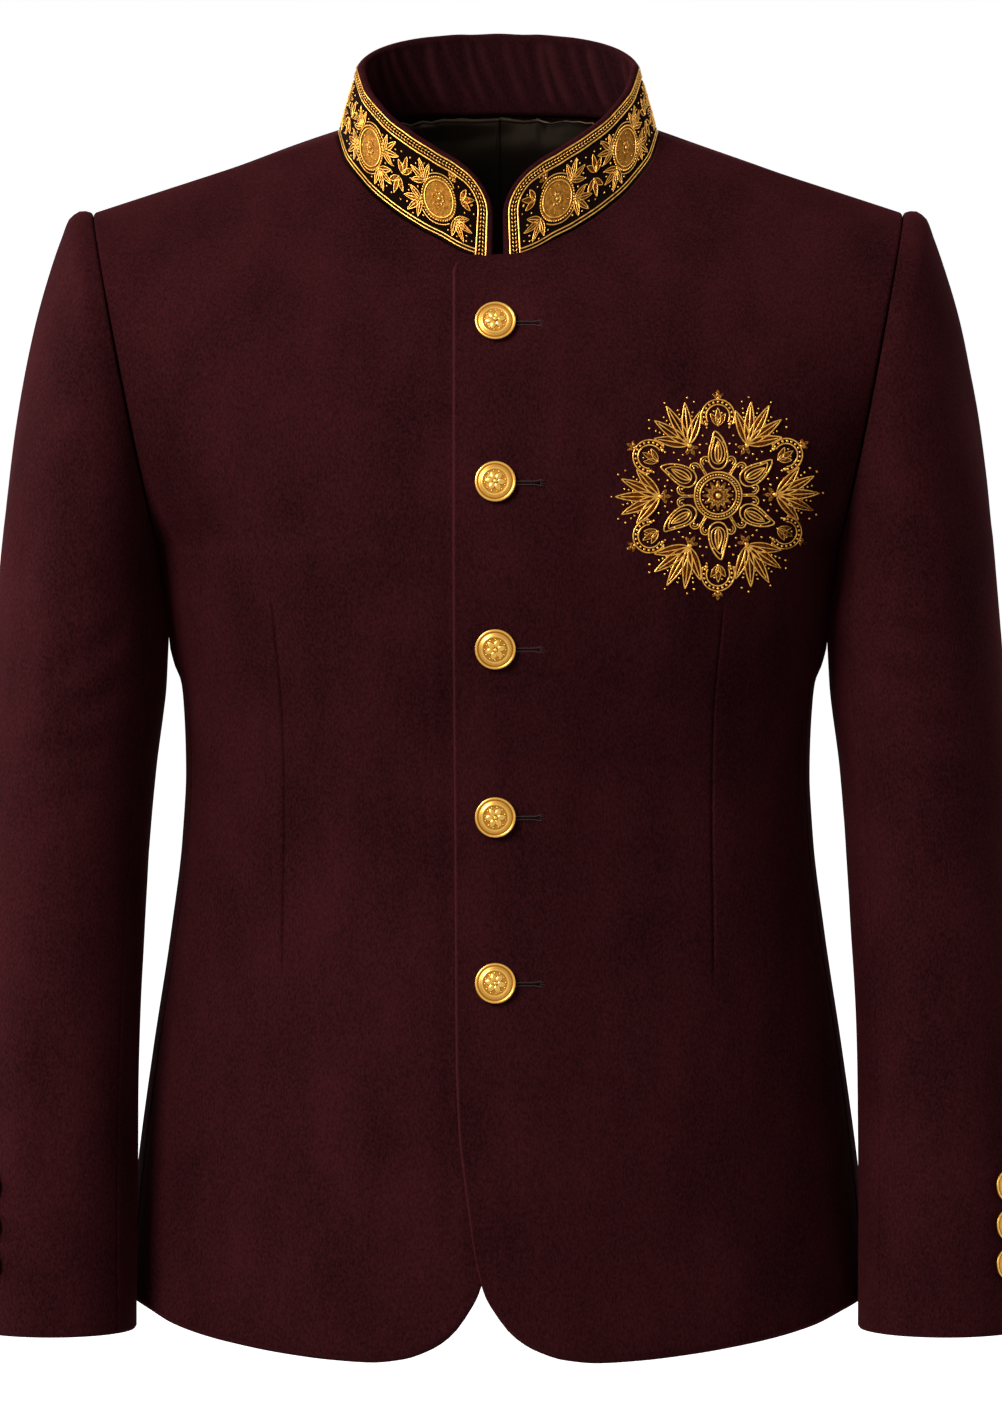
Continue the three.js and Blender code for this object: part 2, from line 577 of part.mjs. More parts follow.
// A low round boss on a surface: place gives the surface under a point of the round.
function boss(place, radius, sectors, rings) {
  const bottom = [];
  const top = [];
  const lift = (share) => 0.35 + 0.65 * Math.sqrt(Math.max(0, 1 - share * share));
  for (const share of rings) {
    bottom.push([]);
    top.push([]);
    for (let i = 0; i < sectors; i += 1) {
      const turn = (2 * Math.PI * i) / sectors;
      const s = place(share * radius * Math.cos(turn), share * radius * Math.sin(turn));
      bottom.at(-1).push(s.point);
      top.at(-1).push(s.point.clone().addScaledVector(s.normal, s.thick * lift(share)));
    }
  }
  const middle = place(0, 0);
  const crown = middle.point.clone().addScaledVector(middle.normal, middle.thick);
  const points = [middle.point, crown, ...bottom.flat(), ...top.flat()];
  const at = (layer, r, i) => 2 + (layer * rings.length + r) * sectors + (i % sectors);
  const faces = [];
  const last = rings.length - 1;
  for (let i = 0; i < sectors; i += 1) {
    faces.push(1, at(1, 0, i), at(1, 0, i + 1));
    faces.push(0, at(0, 0, i + 1), at(0, 0, i));
    for (let r = 0; r < last; r += 1) {
      faces.push(at(1, r, i), at(1, r + 1, i), at(1, r + 1, i + 1));
      faces.push(at(1, r, i), at(1, r + 1, i + 1), at(1, r, i + 1));
      faces.push(at(0, r, i), at(0, r + 1, i + 1), at(0, r + 1, i));
      faces.push(at(0, r, i), at(0, r, i + 1), at(0, r + 1, i + 1));
    }
    faces.push(at(1, last, i), at(0, last, i), at(0, last, i + 1));
    faces.push(at(1, last, i), at(0, last, i + 1), at(1, last, i + 1));
  }
  const shape = new THREE.BufferGeometry().setFromPoints(points);
  shape.setIndex(faces);
  return shape;
}

// A place on the front at a given reach and level.
function frontAt(x, z, lift) {
  const { u, climb } = placeOf(-1, { u: 0.5, climb: climbOf(z) / 2 + 0.3 }, "x", x, "z", z);
  return bodyPlace(-1, u, climb, lift);
}

// ---- buttons ----
function buttonShape(size, segments) {
  const { radius, thick } = size;
  const profile = [
    [0, 0],
    [0.3 * radius, 0],
    [0.34 * radius, 0.2 * thick],
    [0.86 * radius, 0.28 * thick],
    [radius, 0.46 * thick],
    [0.93 * radius, 0.7 * thick],
    [0.8 * radius, 0.66 * thick],
    [0.45 * radius, 0.92 * thick],
    [0, thick],
  ];
  const shape = new THREE.LatheGeometry(profile.map(([r, h]) => new THREE.Vector2(r, h)), segments);
  shape.rotateX(Math.PI / 2); // the button's face now looks along +Z of its own frame
  return shape;
}

function seated(mesh, spot, gap) {
  mesh.position.copy(spot.point).addScaledVector(spot.normal, gap);
  mesh.quaternion.setFromUnitVectors(vec(0, 0, 1), spot.normal);
  return mesh;
}

// ---- materials ----
const finish = (color, roughness, metalness) =>
  new THREE.MeshStandardMaterial({ color, roughness, metalness });
const MAROON = () => finish("#3a1418", 0.85, 0);
const SATIN = () => finish("#0d0b0a", 0.35, 0);
const GOLD_THREAD = () => finish("#b98a38", 0.45, 0.8);
const GOLD_METAL = () => finish("#c99a44", 0.3, 1);

const jacket = new THREE.Group();
function add(name, shape, material) {
  const mesh = new THREE.Mesh(shape, material);
  mesh.name = name;
  jacket.add(mesh);
  return mesh;
}

// fronts, side bodies and backs
add("front_left", clothWall(FRONT_ROWS, FRONT_COLUMNS, frontPlace(true), CLOTH), MAROON());
const flipped = FRONT_COLUMNS.map((c) => 1 - c).reverse();
add("front_right", clothWall(FRONT_ROWS, flipped, mirrored(frontPlace(false)), CLOTH), MAROON());
const sideColumns = [0, 0.25, 0.5, 0.75, 1];
add("side_left", clothWall(SIDE_ROWS, sideColumns, sidePlace, CLOTH), MAROON());
add("side_right", clothWall(SIDE_ROWS, sideColumns, mirrored(sidePlace), CLOTH), MAROON());
const backHalf = backPlace(1, SEAM, 0);
add("back_left", clothWall(BACK_ROWS, BACK_COLUMNS, backHalf, CLOTH), MAROON());
add("back_right", clothWall(BACK_ROWS, BACK_COLUMNS, mirrored(backHalf), CLOTH), MAROON());

// sleeves in two pieces each
const sleeves = [
  { name: "sleeve_top", from: FOREARM_SEAM, to: HINDARM_SEAM, columns: steps(12) },
  { name: "sleeve_under", from: HINDARM_SEAM, to: FOREARM_SEAM - 360, columns: steps(7) },
];
for (const { name, from, to, columns } of sleeves) {
  const place = sleevePlace(from, to);
  const down = [...RINGS].reverse();
  add(name + "_left", clothWall(down, columns, place, CLOTH), MAROON());
  add(name + "_right", clothWall(down, columns, mirrored(place), CLOTH), MAROON());
}

// collar, its facing, braids and discs
add("collar_outer", collarWall(steps(3), 0, CLOTH, 0), MAROON());
add("collar_facing", collarWall(steps(3), -CLOTH - SEAM, FACING, 0.4), MAROON());
add(
  "collar_braid_rim",
  braidWall([edgeLine(BRAID.inset + BRAID.width), edgeLine(BRAID.inset)], SEAM, BRAID.thick),
  GOLD_THREAD(),
);
const baseEnd = BRAID.inset + BRAID.width + 0.5;
const baseRun = COLLAR_COLUMNS.filter((run) => run > baseEnd && run < otherEnd(baseEnd));
baseRun.unshift(baseEnd);
baseRun.push(otherEnd(baseEnd));
const baseLine = (high) => baseRun.map((along) => [along, high]);
add(
  "collar_braid_base",
  braidWall([baseLine(BRAID.baseInset), baseLine(BRAID.baseInset + BRAID.baseWidth)], SEAM, BRAID.thick),
  GOLD_THREAD(),
);
const discRuns = steps(DISC.gaps).slice(0, -1).map((t) => mix(DISC.first, HALF_COLLAR, t));
const discPlaces = [...discRuns, HALF_COLLAR, ...discRuns.map(otherEnd).reverse()];
discPlaces.forEach((run, i) => {
  const place = (p, q) => ({ ...collarPlace(run + p, DISC.high + q, SEAM), thick: DISC.thick });
  add("collar_disc_" + (i + 1), boss(place, DISC.radius, 14, [0.5, 1]), GOLD_THREAD());
});

// lining of the back, seen inside the neck: one piece up to the neckline, then one arm each side of it
const LINING_TOP = 0.983; // just short of the shoulder seam
const liningRows = BACK_ROWS.filter((row) => row.climb >= 0);
const liningHalf = backPlace(LINING_TOP, 0, -CLOTH - 2.5 * SEAM);
const liningColumns = [liningHalf, mirrored(liningHalf)].flatMap((half) =>
  BACK_COLUMNS.map((share) => ({ half, share })),
);
const liningPlace = (row, column) => column.half(row, column.share);
const liningMiddle = BACK_COLUMNS.length - 1;
add("lining_back", clothWall(liningRows, liningColumns, liningPlace, LINING, liningMiddle), SATIN());

// embroidered round on the wearer's left chest
const chestPlace = (p, q) => ({
  ...frontAt(CHEST_ROUND.x + p, CHEST_ROUND.z + q, CHEST_ROUND.gap),
  thick: CHEST_ROUND.thick,
});
add("chest_embroidery", boss(chestPlace, CHEST_ROUND.radius, 24, [0.4, 0.75, 1]), GOLD_THREAD());

// front and cuff buttons
BUTTON_LEVELS.forEach((z, i) => {
  const { u, climb } = placeOf(-1, { u: 0, climb: climbOf(z) }, "x", BUTTON.x, "z", z);
  const spot = bodyPlace(-1, u, climb, overLift(BUTTON.x, climb));
  seated(add("button_" + (i + 1), buttonShape(BUTTON, 16), GOLD_METAL()), spot, SEAM);
});

CUFF_BUTTON_LEVELS.forEach((z, i) => {
  const forearm = SLEEVE_RINGS.slice(9).map((row) => ({ down: -row.outZ, ring: row.ring }));
  const ring = read(forearm, "down", "ring", -z);
  const near = shapeAt(sleevePoint, CUFF_BUTTON.turn, ring, 0.01);
  const spot = { point: sleevePoint(CUFF_BUTTON.turn, ring), normal: near.normal };
  const across = { point: mirrorX(spot.point), normal: mirrorX(spot.normal) };
  seated(add("cuff_button_left_" + (i + 1), buttonShape(CUFF_BUTTON, 12), GOLD_METAL()), spot, SEAM);
  seated(add("cuff_button_right_" + (i + 1), buttonShape(CUFF_BUTTON, 12), GOLD_METAL()), across, SEAM);
});

export default jacket;
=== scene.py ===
"""A bandhgala jacket in maroon napped suiting with gold zardozi work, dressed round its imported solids."""
import math

import bmesh
import bpy
import numpy as np
from mathutils import Matrix, Vector


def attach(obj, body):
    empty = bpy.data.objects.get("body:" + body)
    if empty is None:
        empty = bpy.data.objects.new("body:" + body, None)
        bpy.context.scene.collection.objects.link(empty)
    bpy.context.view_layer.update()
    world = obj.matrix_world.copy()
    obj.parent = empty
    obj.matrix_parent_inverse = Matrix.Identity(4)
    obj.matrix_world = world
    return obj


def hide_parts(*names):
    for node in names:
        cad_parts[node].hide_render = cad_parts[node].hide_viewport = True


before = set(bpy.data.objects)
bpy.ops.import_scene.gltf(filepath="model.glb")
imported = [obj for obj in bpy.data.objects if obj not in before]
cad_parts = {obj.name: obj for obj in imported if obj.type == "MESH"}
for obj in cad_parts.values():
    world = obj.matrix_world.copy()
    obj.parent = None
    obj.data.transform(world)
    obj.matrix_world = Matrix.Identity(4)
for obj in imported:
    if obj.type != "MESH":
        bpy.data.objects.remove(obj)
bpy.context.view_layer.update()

MM = 0.001
SEED = 7

# ---- the jacket's own sizes in mm, as its solids have them ----
CLOTH, LINING, FACING, SEAM, OVERLAP = 2.0, 1.0, 1.4, 0.3, 22
UNDERARM, SHOULDER_TIP = (195, 0, -238), (231.6, -5, -46)
ARMHOLE_DEPTH, BODY_LENGTH = 62, 430
COLLAR_CORNER, COLLAR_GAP, COLLAR_HEIGHT, NECK_SEAM = 21, 6.4, 45, 0.7
DISC_RADIUS, DISC_FIRST, DISC_GAPS, DISC_HIGH = 11.8, 34, 4, 19.8
CHEST_X, CHEST_Z, CHEST_OFF = 124, -203, 0.1
BUTTON_X, BUTTON_RADIUS, BUTTON_THICK = -1.5, 11.6, 5.2
BUTTON_LEVELS = [-106.3, -194.6, -288, -384, -478]
CUFF_RADIUS, CUFF_THICK, CUFF_TURN, CUFF_LEVELS = 9, 4.2, 44.5, [-598, -620, -642]
NECK_LEAVE, NECK_FRONT = {-1: 0.78, 1: 0.86}, -70.5
SIDE_SEAM = {-1: (0.875, 0.16), 1: (0.8, 0.26)}
HEM_CORNER, UNDER_SHIFT, HEM_ZONE = (-4.5, -659.5), 18.6, -560
SIDE_HEM, SIDE_SEAM_HEM, BACK_HEM = -667, -668.4, -665
FOREARM_SEAM, HINDARM_SEAM = 142, -62
SHOULDER_TURN, PAST_SEAM, TOP_CORNER, HEM_FOOT, ROLL = 89.2, 1.0015, 8, -670, 2.4

# ---- how finely the cloths are cut, and how far from a seam in mm their creases die away ----
HEM_ROWS, FRONT_ROWS, FRONT_NECK_ROWS, BACK_ROWS, OUTER_ROWS, FACING_ROWS = 41, 172, 32, 214, 16, 18
CALM_SEAM = 26

# level, half width, front and back depth, squareness at the centre and at the side
BODY = [
    (-704, 218, 136, 127, 0.62, 0.5), (-664, 214.5, 134, 126, 0.62, 0.5),
    (-590, 207, 129, 120, 0.61, 0.51), (-526, 198.4, 123, 111, 0.6, 0.52),
    (-457, 187.7, 116, 97, 0.6, 0.53), (-405, 181.1, 112.5, 90, 0.6, 0.54),
    (-365, 179, 113, 89, 0.6, 0.55), (-327, 180.5, 117, 93, 0.6, 0.56),
    (-291, 186.3, 121.5, 99, 0.6, 0.58), (-251, 192.4, 124.5, 107, 0.6, 0.6),
    (-238, 195, 125, 109, 0.6, 0.6),
]
# climb from underarm to shoulder seam: level and depth on the centre line, squareness and slant
ROWS = {
    -1: [
        (0, -238, 125, 0.6, 0.6, 0), (0.16, -214, 123, 0.51, 0.62, 0.12),
        (0.33, -180, 117.5, 0.48, 0.66, 0.16), (0.5, -142, 106.5, 0.45, 0.62, 0.19),
        (0.67, -98, 88, 0.42, 0.56, 0.24), (0.78, -70.5, 71.8, 0.38, 0.5, 0.28),
        (0.85, -34.5, 48.4, 0.36, 0.5, 0.3), (0.92, -1, 26.5, 0.34, 0.5, 0.32),
        (1, 29, 0, 0.33, 0.5, 0.33), (1.08, -1, -26.5, 0.34, 0.5, 0.32),
    ],
    1: [
        (0, -238, 109, 0.6, 0.6, 0), (0.16, -208, 112, 0.52, 0.6, 0.11),
        (0.33, -168, 113.5, 0.47, 0.62, 0.17), (0.5, -118, 108, 0.45, 0.62, 0.2),
        (0.67, -62, 93, 0.43, 0.58, 0.24), (0.86, 10, 60, 0.36, 0.5, 0.3),
        (0.93, 24, 30.7, 0.34, 0.5, 0.32), (1, 29, 0, 0.33, 0.5, 0.33),
        (1.07, 24, -30.7, 0.34, 0.5, 0.32),
    ],
}
# turn from centre front to centre back: radius, the collar's rise and its lean
NECKLINE = [
    (0, 71.8, 46, 15), (24, 71.6, 46.2, 15), (37, 74.3, 46, 14.5), (50, 79.2, 44.6, 13.5),
    (63, 85.6, 42.6, 12.5), (76, 90.6, 41, 12), (90, 92, 40.2, 11.5), (101, 91, 41.4, 11),
    (112, 86.5, 42.8, 10.5), (124, 79.2, 44.2, 10), (139, 70.9, 45.4, 10), (158, 63.5, 46.3, 10),
    (180, 60, 46.3, 10), (202, 63.5, 46.3, 10),
]
FRONT_EDGE = [
    (-659.5, -4.5), (-654.5, -7.1), (-645, -10.2), (-627, -14), (-609, -16.5),
    (-585, -19.7), (-559, -22.4), (-520, -23.8), (-430, -24.4), (-205, -25.6), (-40, -25.6),
]
FRONT_HEM = [
    (-4.5, -659.5), (4, -671.8), (9.6, -677.5), (15.3, -681.7), (22.5, -685.5), (37, -690.3),
    (57, -692.5), (80, -691.7), (112, -689), (135, -686.2), (158, -682.8), (181, -678),
    (199, -671.8), (216, -667),
]
# ring: outermost X and Z, innermost X and Z, middle Y, half depth
SLEEVE = [
    (0, 231.6, -46, 195, -238, -2.5, 62), (1, 238, -44.6, 195.2, -240, -2.5, 64.5),
    (2, 245, -48.6, 195, -242.5, -2.5, 67), (3, 250, -61, 194.7, -245, -2.5, 69),
    (4, 257, -82, 194.4, -247.5, -2.2, 71), (5, 264.5, -108, 194.1, -250, -2, 72.5),
    (6, 271.5, -140, 193.6, -253, -1.5, 73.5), (7, 278, -178, 192.6, -258, -1, 74),
    (8, 283.5, -218, 191, -265, -1, 73.5), (9, 287.5, -262, 188.8, -280, -2, 72),
    (10, 291.5, -312, 190.3, -316, -4, 69), (11, 295.5, -364, 196, -364, -8, 65),
    (12, 298, -412, 200, -412, -13, 61), (13, 299.5, -455, 202.4, -455, -18.5, 57.5),
    (14, 300.8, -505, 205, -505, -26, 54.5), (15, 301.8, -560, 206.4, -560, -35, 51.5),
    (16, 302.4, -620, 206.8, -620, -45, 49), (17, 302.4, -682, 206.6, -682, -53, 47),
]


def mix(a, b, t):
    return a + (b - a) * t


def soft(t):
    t = np.clip(t, 0, 1)
    return t * t * (3 - 2 * t)


def read(table, at):
    """The other columns of a table at values of its first, on smooth curves that never overshoot."""
    rows = np.array(table, float)
    key, values = rows[:, 0], rows[:, 1:]
    at = np.clip(np.atleast_1d(np.asarray(at, float)), key[0], key[-1])
    i = np.clip(np.searchsorted(key, at, "right") - 1, 0, len(key) - 2)
    step = np.diff(key)[:, None]
    slope = np.diff(values, axis=0) / step
    product, total = slope[:-1] * slope[1:], slope[:-1] + slope[1:]
    turning = product <= 0
    inner = np.where(turning, 0, 2 * product / np.where(turning, 1, total))
    tangent = np.vstack([slope[:1], inner, slope[-1:]])
    t = ((at - key[i]) / step[i, 0])[:, None]
    rise = values[i + 1] - values[i]
    bend_in, bend_out = tangent[i] * step[i], tangent[i + 1] * step[i]
    return (
        values[i] + bend_in * t + (3 * rise - 2 * bend_in - bend_out) * t**2
        + (bend_in + bend_out - 2 * rise) * t**3
    ).T


def points_of(x, y, z):
    return np.stack(np.broadcast_arrays(x, y, z), -1).astype(float)


def runs_of(line):
    """How far along a line each of its places is."""
    return np.concatenate([[0], np.cumsum(np.linalg.norm(np.diff(line, axis=0), axis=1))])


# ---- the body's surface ----
def body(face, u, climb):
    """Points of the front (-1) or back (1): u from the centre line to the side, climb up from the underarm."""
    u, climb = np.broadcast_arrays(np.asarray(u, float), np.asarray(climb, float))
    u, climb = u.ravel(), climb.ravel()
    side, u = np.where(u < 0, -1.0, 1.0), np.abs(u)
    low = climb <= 0
    level = UNDERARM[2] + climb * BODY_LENGTH
    half, front, back, a0, b0 = read(BODY, np.minimum(level, UNDERARM[2]))
    z1, depth1, a1, b1, c1 = read(ROWS[face], np.maximum(climb, 0))
    leave = NECK_LEAVE[face]
    turn = np.radians(180 + face * np.maximum(climb, 0) * 180)
    up = (1 + np.cos(turn)) / 2
    armhole = mix(np.array(UNDERARM), np.array(SHOULDER_TIP), up[:, None])
    armhole[:, 1] -= ARMHOLE_DEPTH * np.sin(turn)
    outer = np.where(low[:, None], points_of(half, 0, level), armhole)
    slope = np.where(low, 0, soft((climb - leave) / (1 - leave)) / 3)
    inner = points_of(0, face * np.where(low, front if face < 0 else back, depth1), np.where(low, level, z1))
    a, b, c = np.where(low, a0, a1), np.where(low, b0, b1), np.where(low, 0, c1)
    start, end = mix(inner, outer, points_of(a, 0, slope)), mix(outer, inner, points_of(c, b, 1 / 3))
    u, v = u[:, None], 1 - u[:, None]
    made = inner * v**3 + start * 3 * v * v * u + end * 3 * v * u * u + outer * u**3
    made[:, 0] *= side
    return made


def shape_at(surface, p, q, step):
    """Outward normals and the speed along each of a surface's two numbers."""
    along_p = (surface(p + step, q) - surface(p - step, q)) / (2 * step)
    along_q = (surface(p, q + step) - surface(p, q - step)) / (2 * step)
    normal = np.cross(along_p, along_q)
    normal /= np.linalg.norm(normal, axis=1)[:, None]
    return normal, np.linalg.norm(along_p, axis=1), np.linalg.norm(along_q, axis=1)


def body_place(face, u, climb, lift=0):
    near, speed_u, _ = shape_at(
        lambda p, q: body(face, p, q), np.minimum(u, 0.998), np.minimum(climb, 0.998), 1e-3
    )
    normal = near if face < 0 else -near
    return body(face, u, climb) + normal * np.reshape(lift, (-1, 1)), normal, speed_u


def reach_of(face, x, climb):
    """The u at a given reach across each row."""
    low, high = np.full(len(climb), -0.5), np.ones(len(climb))
    for _ in range(26):
        middle = (low + high) / 2
        under = body(face, middle, climb)[:, 0] < x
        low, high = np.where(under, middle, low), np.where(under, high, middle)
    return (low + high) / 2


def place_of(face, u, climb, x, j, want):
    """u and climb where a face's x and one more of its coordinates have given values."""
    for _ in range(14):
        here = body(face, u, climb)
        by_u = (body(face, u + 1e-4, climb) - here) * 1e4
        by_climb = (body(face, u, climb + 1e-4) - here) * 1e4
        a, b = x - here[:, 0], want - here[:, j]
        scale = by_u[:, 0] * by_climb[:, j] - by_u[:, j] * by_climb[:, 0]
        u = u + (a * by_climb[:, j] - b * by_climb[:, 0]) / scale
        climb = climb + (b * by_u[:, 0] - a * by_u[:, j]) / scale
    return u, climb


def climb_of(z):
    return (np.asarray(z, float) - UNDERARM[2]) / BODY_LENGTH


def neck_spots(turn):
    """u, climb and the point of the neckline at turns that are all on the front or all on the back."""
    turn = np.atleast_1d(np.asarray(turn, float))
    face = -1 if turn[0] <= 90 else 1
    radius = read(NECKLINE, turn)[0]
    x, y = radius * np.sin(np.radians(turn)), -radius * np.cos(np.radians(turn))
    along = turn / 90 if face < 0 else 2 - turn / 90
    u, climb = place_of(face, 0.38 * np.sin(np.radians(turn)), mix(NECK_LEAVE[face], 1, along), x, 1, y)
    return u, climb, body(face, u, climb)


def side_seam(face, climb):
    at, top = SIDE_SEAM[face]
    return 1 - (1 - at) * np.clip(1 - climb / top, 0, 1)


def over_lift(x, climb):
    return (CLOTH + SEAM) * (1 - soft((x - 30) / 30)) * (1 - soft((climb - NECK_LEAVE[-1]) / 0.04))


def front_surface(x, z):
    """The over front at a place x, z, as an outward point and normal."""
    x, z = np.asarray(x, float), np.asarray(z, float)
    u, climb = place_of(-1, x / 200, climb_of(z), x, 2, z)
    return body_place(-1, u, climb, over_lift(x, climb))[:2]


def chest_surface(p, q):
    """The front, and a little proud of it, at a place across and up from the middle of the chest work."""
    point, normal = front_surface(CHEST_X + p, CHEST_Z + q)
    return point + normal * CHEST_OFF, normal


def sleeve(turn, ring):
    out_x, out_z, in_x, in_z, mid_y, depth = read(SLEEVE, ring)
    turn = np.radians(turn)
    half = (1 + np.cos(turn)) / 2
    tip = np.cos(turn) * np.maximum(0, 1 - ring) * (SHOULDER_TIP[1] / 2)
    return points_of(mix(in_x, out_x, half), mid_y + tip - depth * np.sin(turn), mix(in_z, out_z, half))


# ---- the collar's surface ----
NECK_TURNS = np.arange(0, 181, 2.0)
NECK_POINTS = np.vstack([neck_spots(NECK_TURNS[:46])[2], neck_spots(NECK_TURNS[46:])[2]])
NECK_TABLE = np.column_stack([np.append(NECK_TURNS, 182), np.append(NECK_POINTS[:, 2], NECK_POINTS[-2, 2])])


def collar_at(turn, share):
    radius, rise, lean = read(NECKLINE, turn)
    inward = NECK_SEAM + share * lean + 1.2 * share * (1 - share)
    angle = np.radians(turn)
    return points_of(
        (radius - inward) * np.sin(angle), -(radius - inward) * np.cos(angle),
        read(NECK_TABLE, turn)[0] + share * rise,
    )


COLLAR_RUN = np.column_stack([runs_of(collar_at(NECK_TURNS, 0.5)), NECK_TURNS])
HALF_COLLAR = COLLAR_RUN[-1, 0] - COLLAR_GAP / 2
WHOLE_COLLAR = 2 * HALF_COLLAR


def collar_point(along, high):
    near = along <= HALF_COLLAR
    run = COLLAR_GAP / 2 + np.where(near, along, WHOLE_COLLAR - along)
    point = collar_at(read(COLLAR_RUN, run)[0], high / COLLAR_HEIGHT)
    point[:, 0] *= np.where(near, 1, -1)
    return point


def collar_surface(along, high):
    along, high = np.asarray(along, float), np.asarray(high, float)
    return collar_point(along, high), shape_at(collar_point, along, high, 0.05)[0]


def collar_top(along, inset=0.0):
    """The collar's height at a distance from its nearer end, inset from the edge all round."""
    from_end = np.minimum(along, WHOLE_COLLAR - along) - inset
    radius = COLLAR_CORNER - inset
    short = np.maximum(0, radius - from_end)
    return COLLAR_HEIGHT - inset - (radius - np.sqrt(np.maximum(0, radius**2 - short**2)))


def edge_line(inset, step=1.2):
    """Places (along, high) up one end of the collar, round its rim and down the other end."""
    radius, straight = COLLAR_CORNER - inset, COLLAR_HEIGHT - COLLAR_CORNER
    line = [(inset, z) for z in np.arange(0.4, straight, step)]
    for t in np.linspace(0, math.pi / 2, max(4, round(radius * 1.57 / step))):
        line.append((COLLAR_CORNER - radius * math.cos(t), straight + radius * math.sin(t)))
    for along in np.arange(COLLAR_CORNER + step, HALF_COLLAR, step):
        line.append((along, COLLAR_HEIGHT - inset))
    far = [(WHOLE_COLLAR - a, h) for a, h in reversed(line)]
    return np.array(line + far)


# ---- materials ----
def linear(code):
    """A hex sRGB colour as the linear values a shader takes."""
    shares = [int(code[i : i + 2], 16) / 255 for i in (1, 3, 5)]
    return [*(s / 12.92 if s <= 0.04045 else ((s + 0.055) / 1.055) ** 2.4 for s in shares), 1.0]


def fill(tree, socket, value):
    """Gives a socket a value, a colour's code or another node's output."""
    if isinstance(value, bpy.types.NodeSocket):
        tree.links.new(value, socket)
    else:
        socket.default_value = linear(value) if isinstance(value, str) else value


def add(tree, kind, inputs, out=0, **settings):
    """Adds one node and returns an output of it."""
    made = tree.nodes.new("ShaderNode" + kind)
    for key, value in settings.items():
        setattr(made, key, value)
    for key, value in inputs.items():
        fill(tree, made.inputs[key], value)
    return made.outputs[out]


def material(name, **constants):
    """A material with one shader, its constants on their own sockets; then its node tree and that shader."""
    made = bpy.data.materials.new(name)
    made.use_nodes = True
    shader = made.node_tree.nodes["Principled BSDF"]
    for key, value in constants.items():
        fill(made.node_tree, shader.inputs[key.replace("_", " ")], value)
    return made, made.node_tree, shader


def grain(tree, scale, detail, squash=1.0):
    """A noise over the object's own places; its marks are drawn out in height where squash is below 1."""
    where = add(tree, "TexCoord", {}, "Object")
    where = add(tree, "Mapping", {"Vector": where, "Scale": (1, 1, squash)})
    return add(tree, "TexNoise", {"Vector": where, "Scale": scale, "Detail": detail})


def dress(tree, shader, share, dark, light, height=None, strength=0.5, bump_mm=0.0):
    """Colours a shader between dark and light by a share, and bumps it by a height."""
    colour = add(tree, "Mix", {"Factor": share, "A": dark, "B": light}, "Result", data_type="RGBA")
    fill(tree, shader.inputs["Base Color"], colour)
    if height is not None:
        bump = add(tree, "Bump", {"Height": height, "Strength": strength, "Distance": bump_mm * MM})
        fill(tree, shader.inputs["Normal"], bump)


# nearly all of a noise's values lie between these
NOISE_RANGE = {"From Min": 0.3, "From Max": 0.7}


def napped_wool(name, dark, light):
    """Wool suiting, milled and brushed: a short nap that scatters light, with soft lighter brush marks."""
    made, tree, shader = material(
        name, Roughness=0.9, Specular_IOR_Level=0.02, Sheen_Weight=0.12, Sheen_Roughness=0.4, Sheen_Tint="#8c2630"
    )
    # brush marks about 40 mm across and the nap's flecks, 1 mm here to show where real ones are 0.5 mm
    brush, fleck = grain(tree, 26.0, 3.0, 0.55), grain(tree, 950.0, 2.0, 0.55)
    shares = [
        add(tree, "MapRange", {"Value": noise, **NOISE_RANGE, "To Min": low, "To Max": high})
        for noise, low, high in ((fleck, -0.36, 0.36), (brush, 0.3, 0.7))
    ]
    both = add(tree, "Math", dict(enumerate(shares)), operation="ADD")
    nap = add(tree, "Mix", {"Factor": both, "A": dark, "B": light}, "Result", data_type="RGBA")
    # painted highlight: the edge attribute lightens the nap towards #4c2123, in a line about 1 mm wide along chosen
    # edges and on the ridges of the collar facing's folds
    edge = add(tree, "Attribute", {}, "Fac", attribute_name="edge")
    dress(tree, shader, edge, nap, "#4c2123", fleck, 0.4, 0.5)
    return made


def plain_material(name, dark, light, scale, bump_mm, **constants):
    """A finish whose colour and surface vary with one fine noise."""
    made, tree, shader = material(name, **constants)
    noise = grain(tree, scale, 4.0)
    dress(tree, shader, noise, dark, light, noise, 0.5, bump_mm)
    return made


def struck_gilt():
    """Brass button, die-struck and gilt: coloured from orange brown to bright gold by the proud attribute, which
    holds painted shade in its hollows and grooves and painted light on its raised rim and rings, times a fine random
    tone.
    """
    made, tree, shader = material("gilt_struck_brass", Roughness=0.25, Metallic=1.0)
    proud = add(tree, "Attribute", {}, "Fac", attribute_name="proud")
    wear_and_fold_light = add(tree, "MapRange", {
        "Value": grain(tree, 600.0, 3.0), **NOISE_RANGE, "To Min": 0.8, "To Max": 1.1,
    })
    share = add(tree, "Math", {0: proud, 1: wear_and_fold_light}, operation="MULTIPLY")
    dress(tree, shader, share, "#9a560a", "#ffcb66")
    # hollows keep their matt tone, 0.5 rough, where raised, worn metal shines
    fill(tree, shader.inputs["Roughness"], add(tree, "MapRange", {"Value": share, "To Min": 0.5, "To Max": 0.22}))
    return made


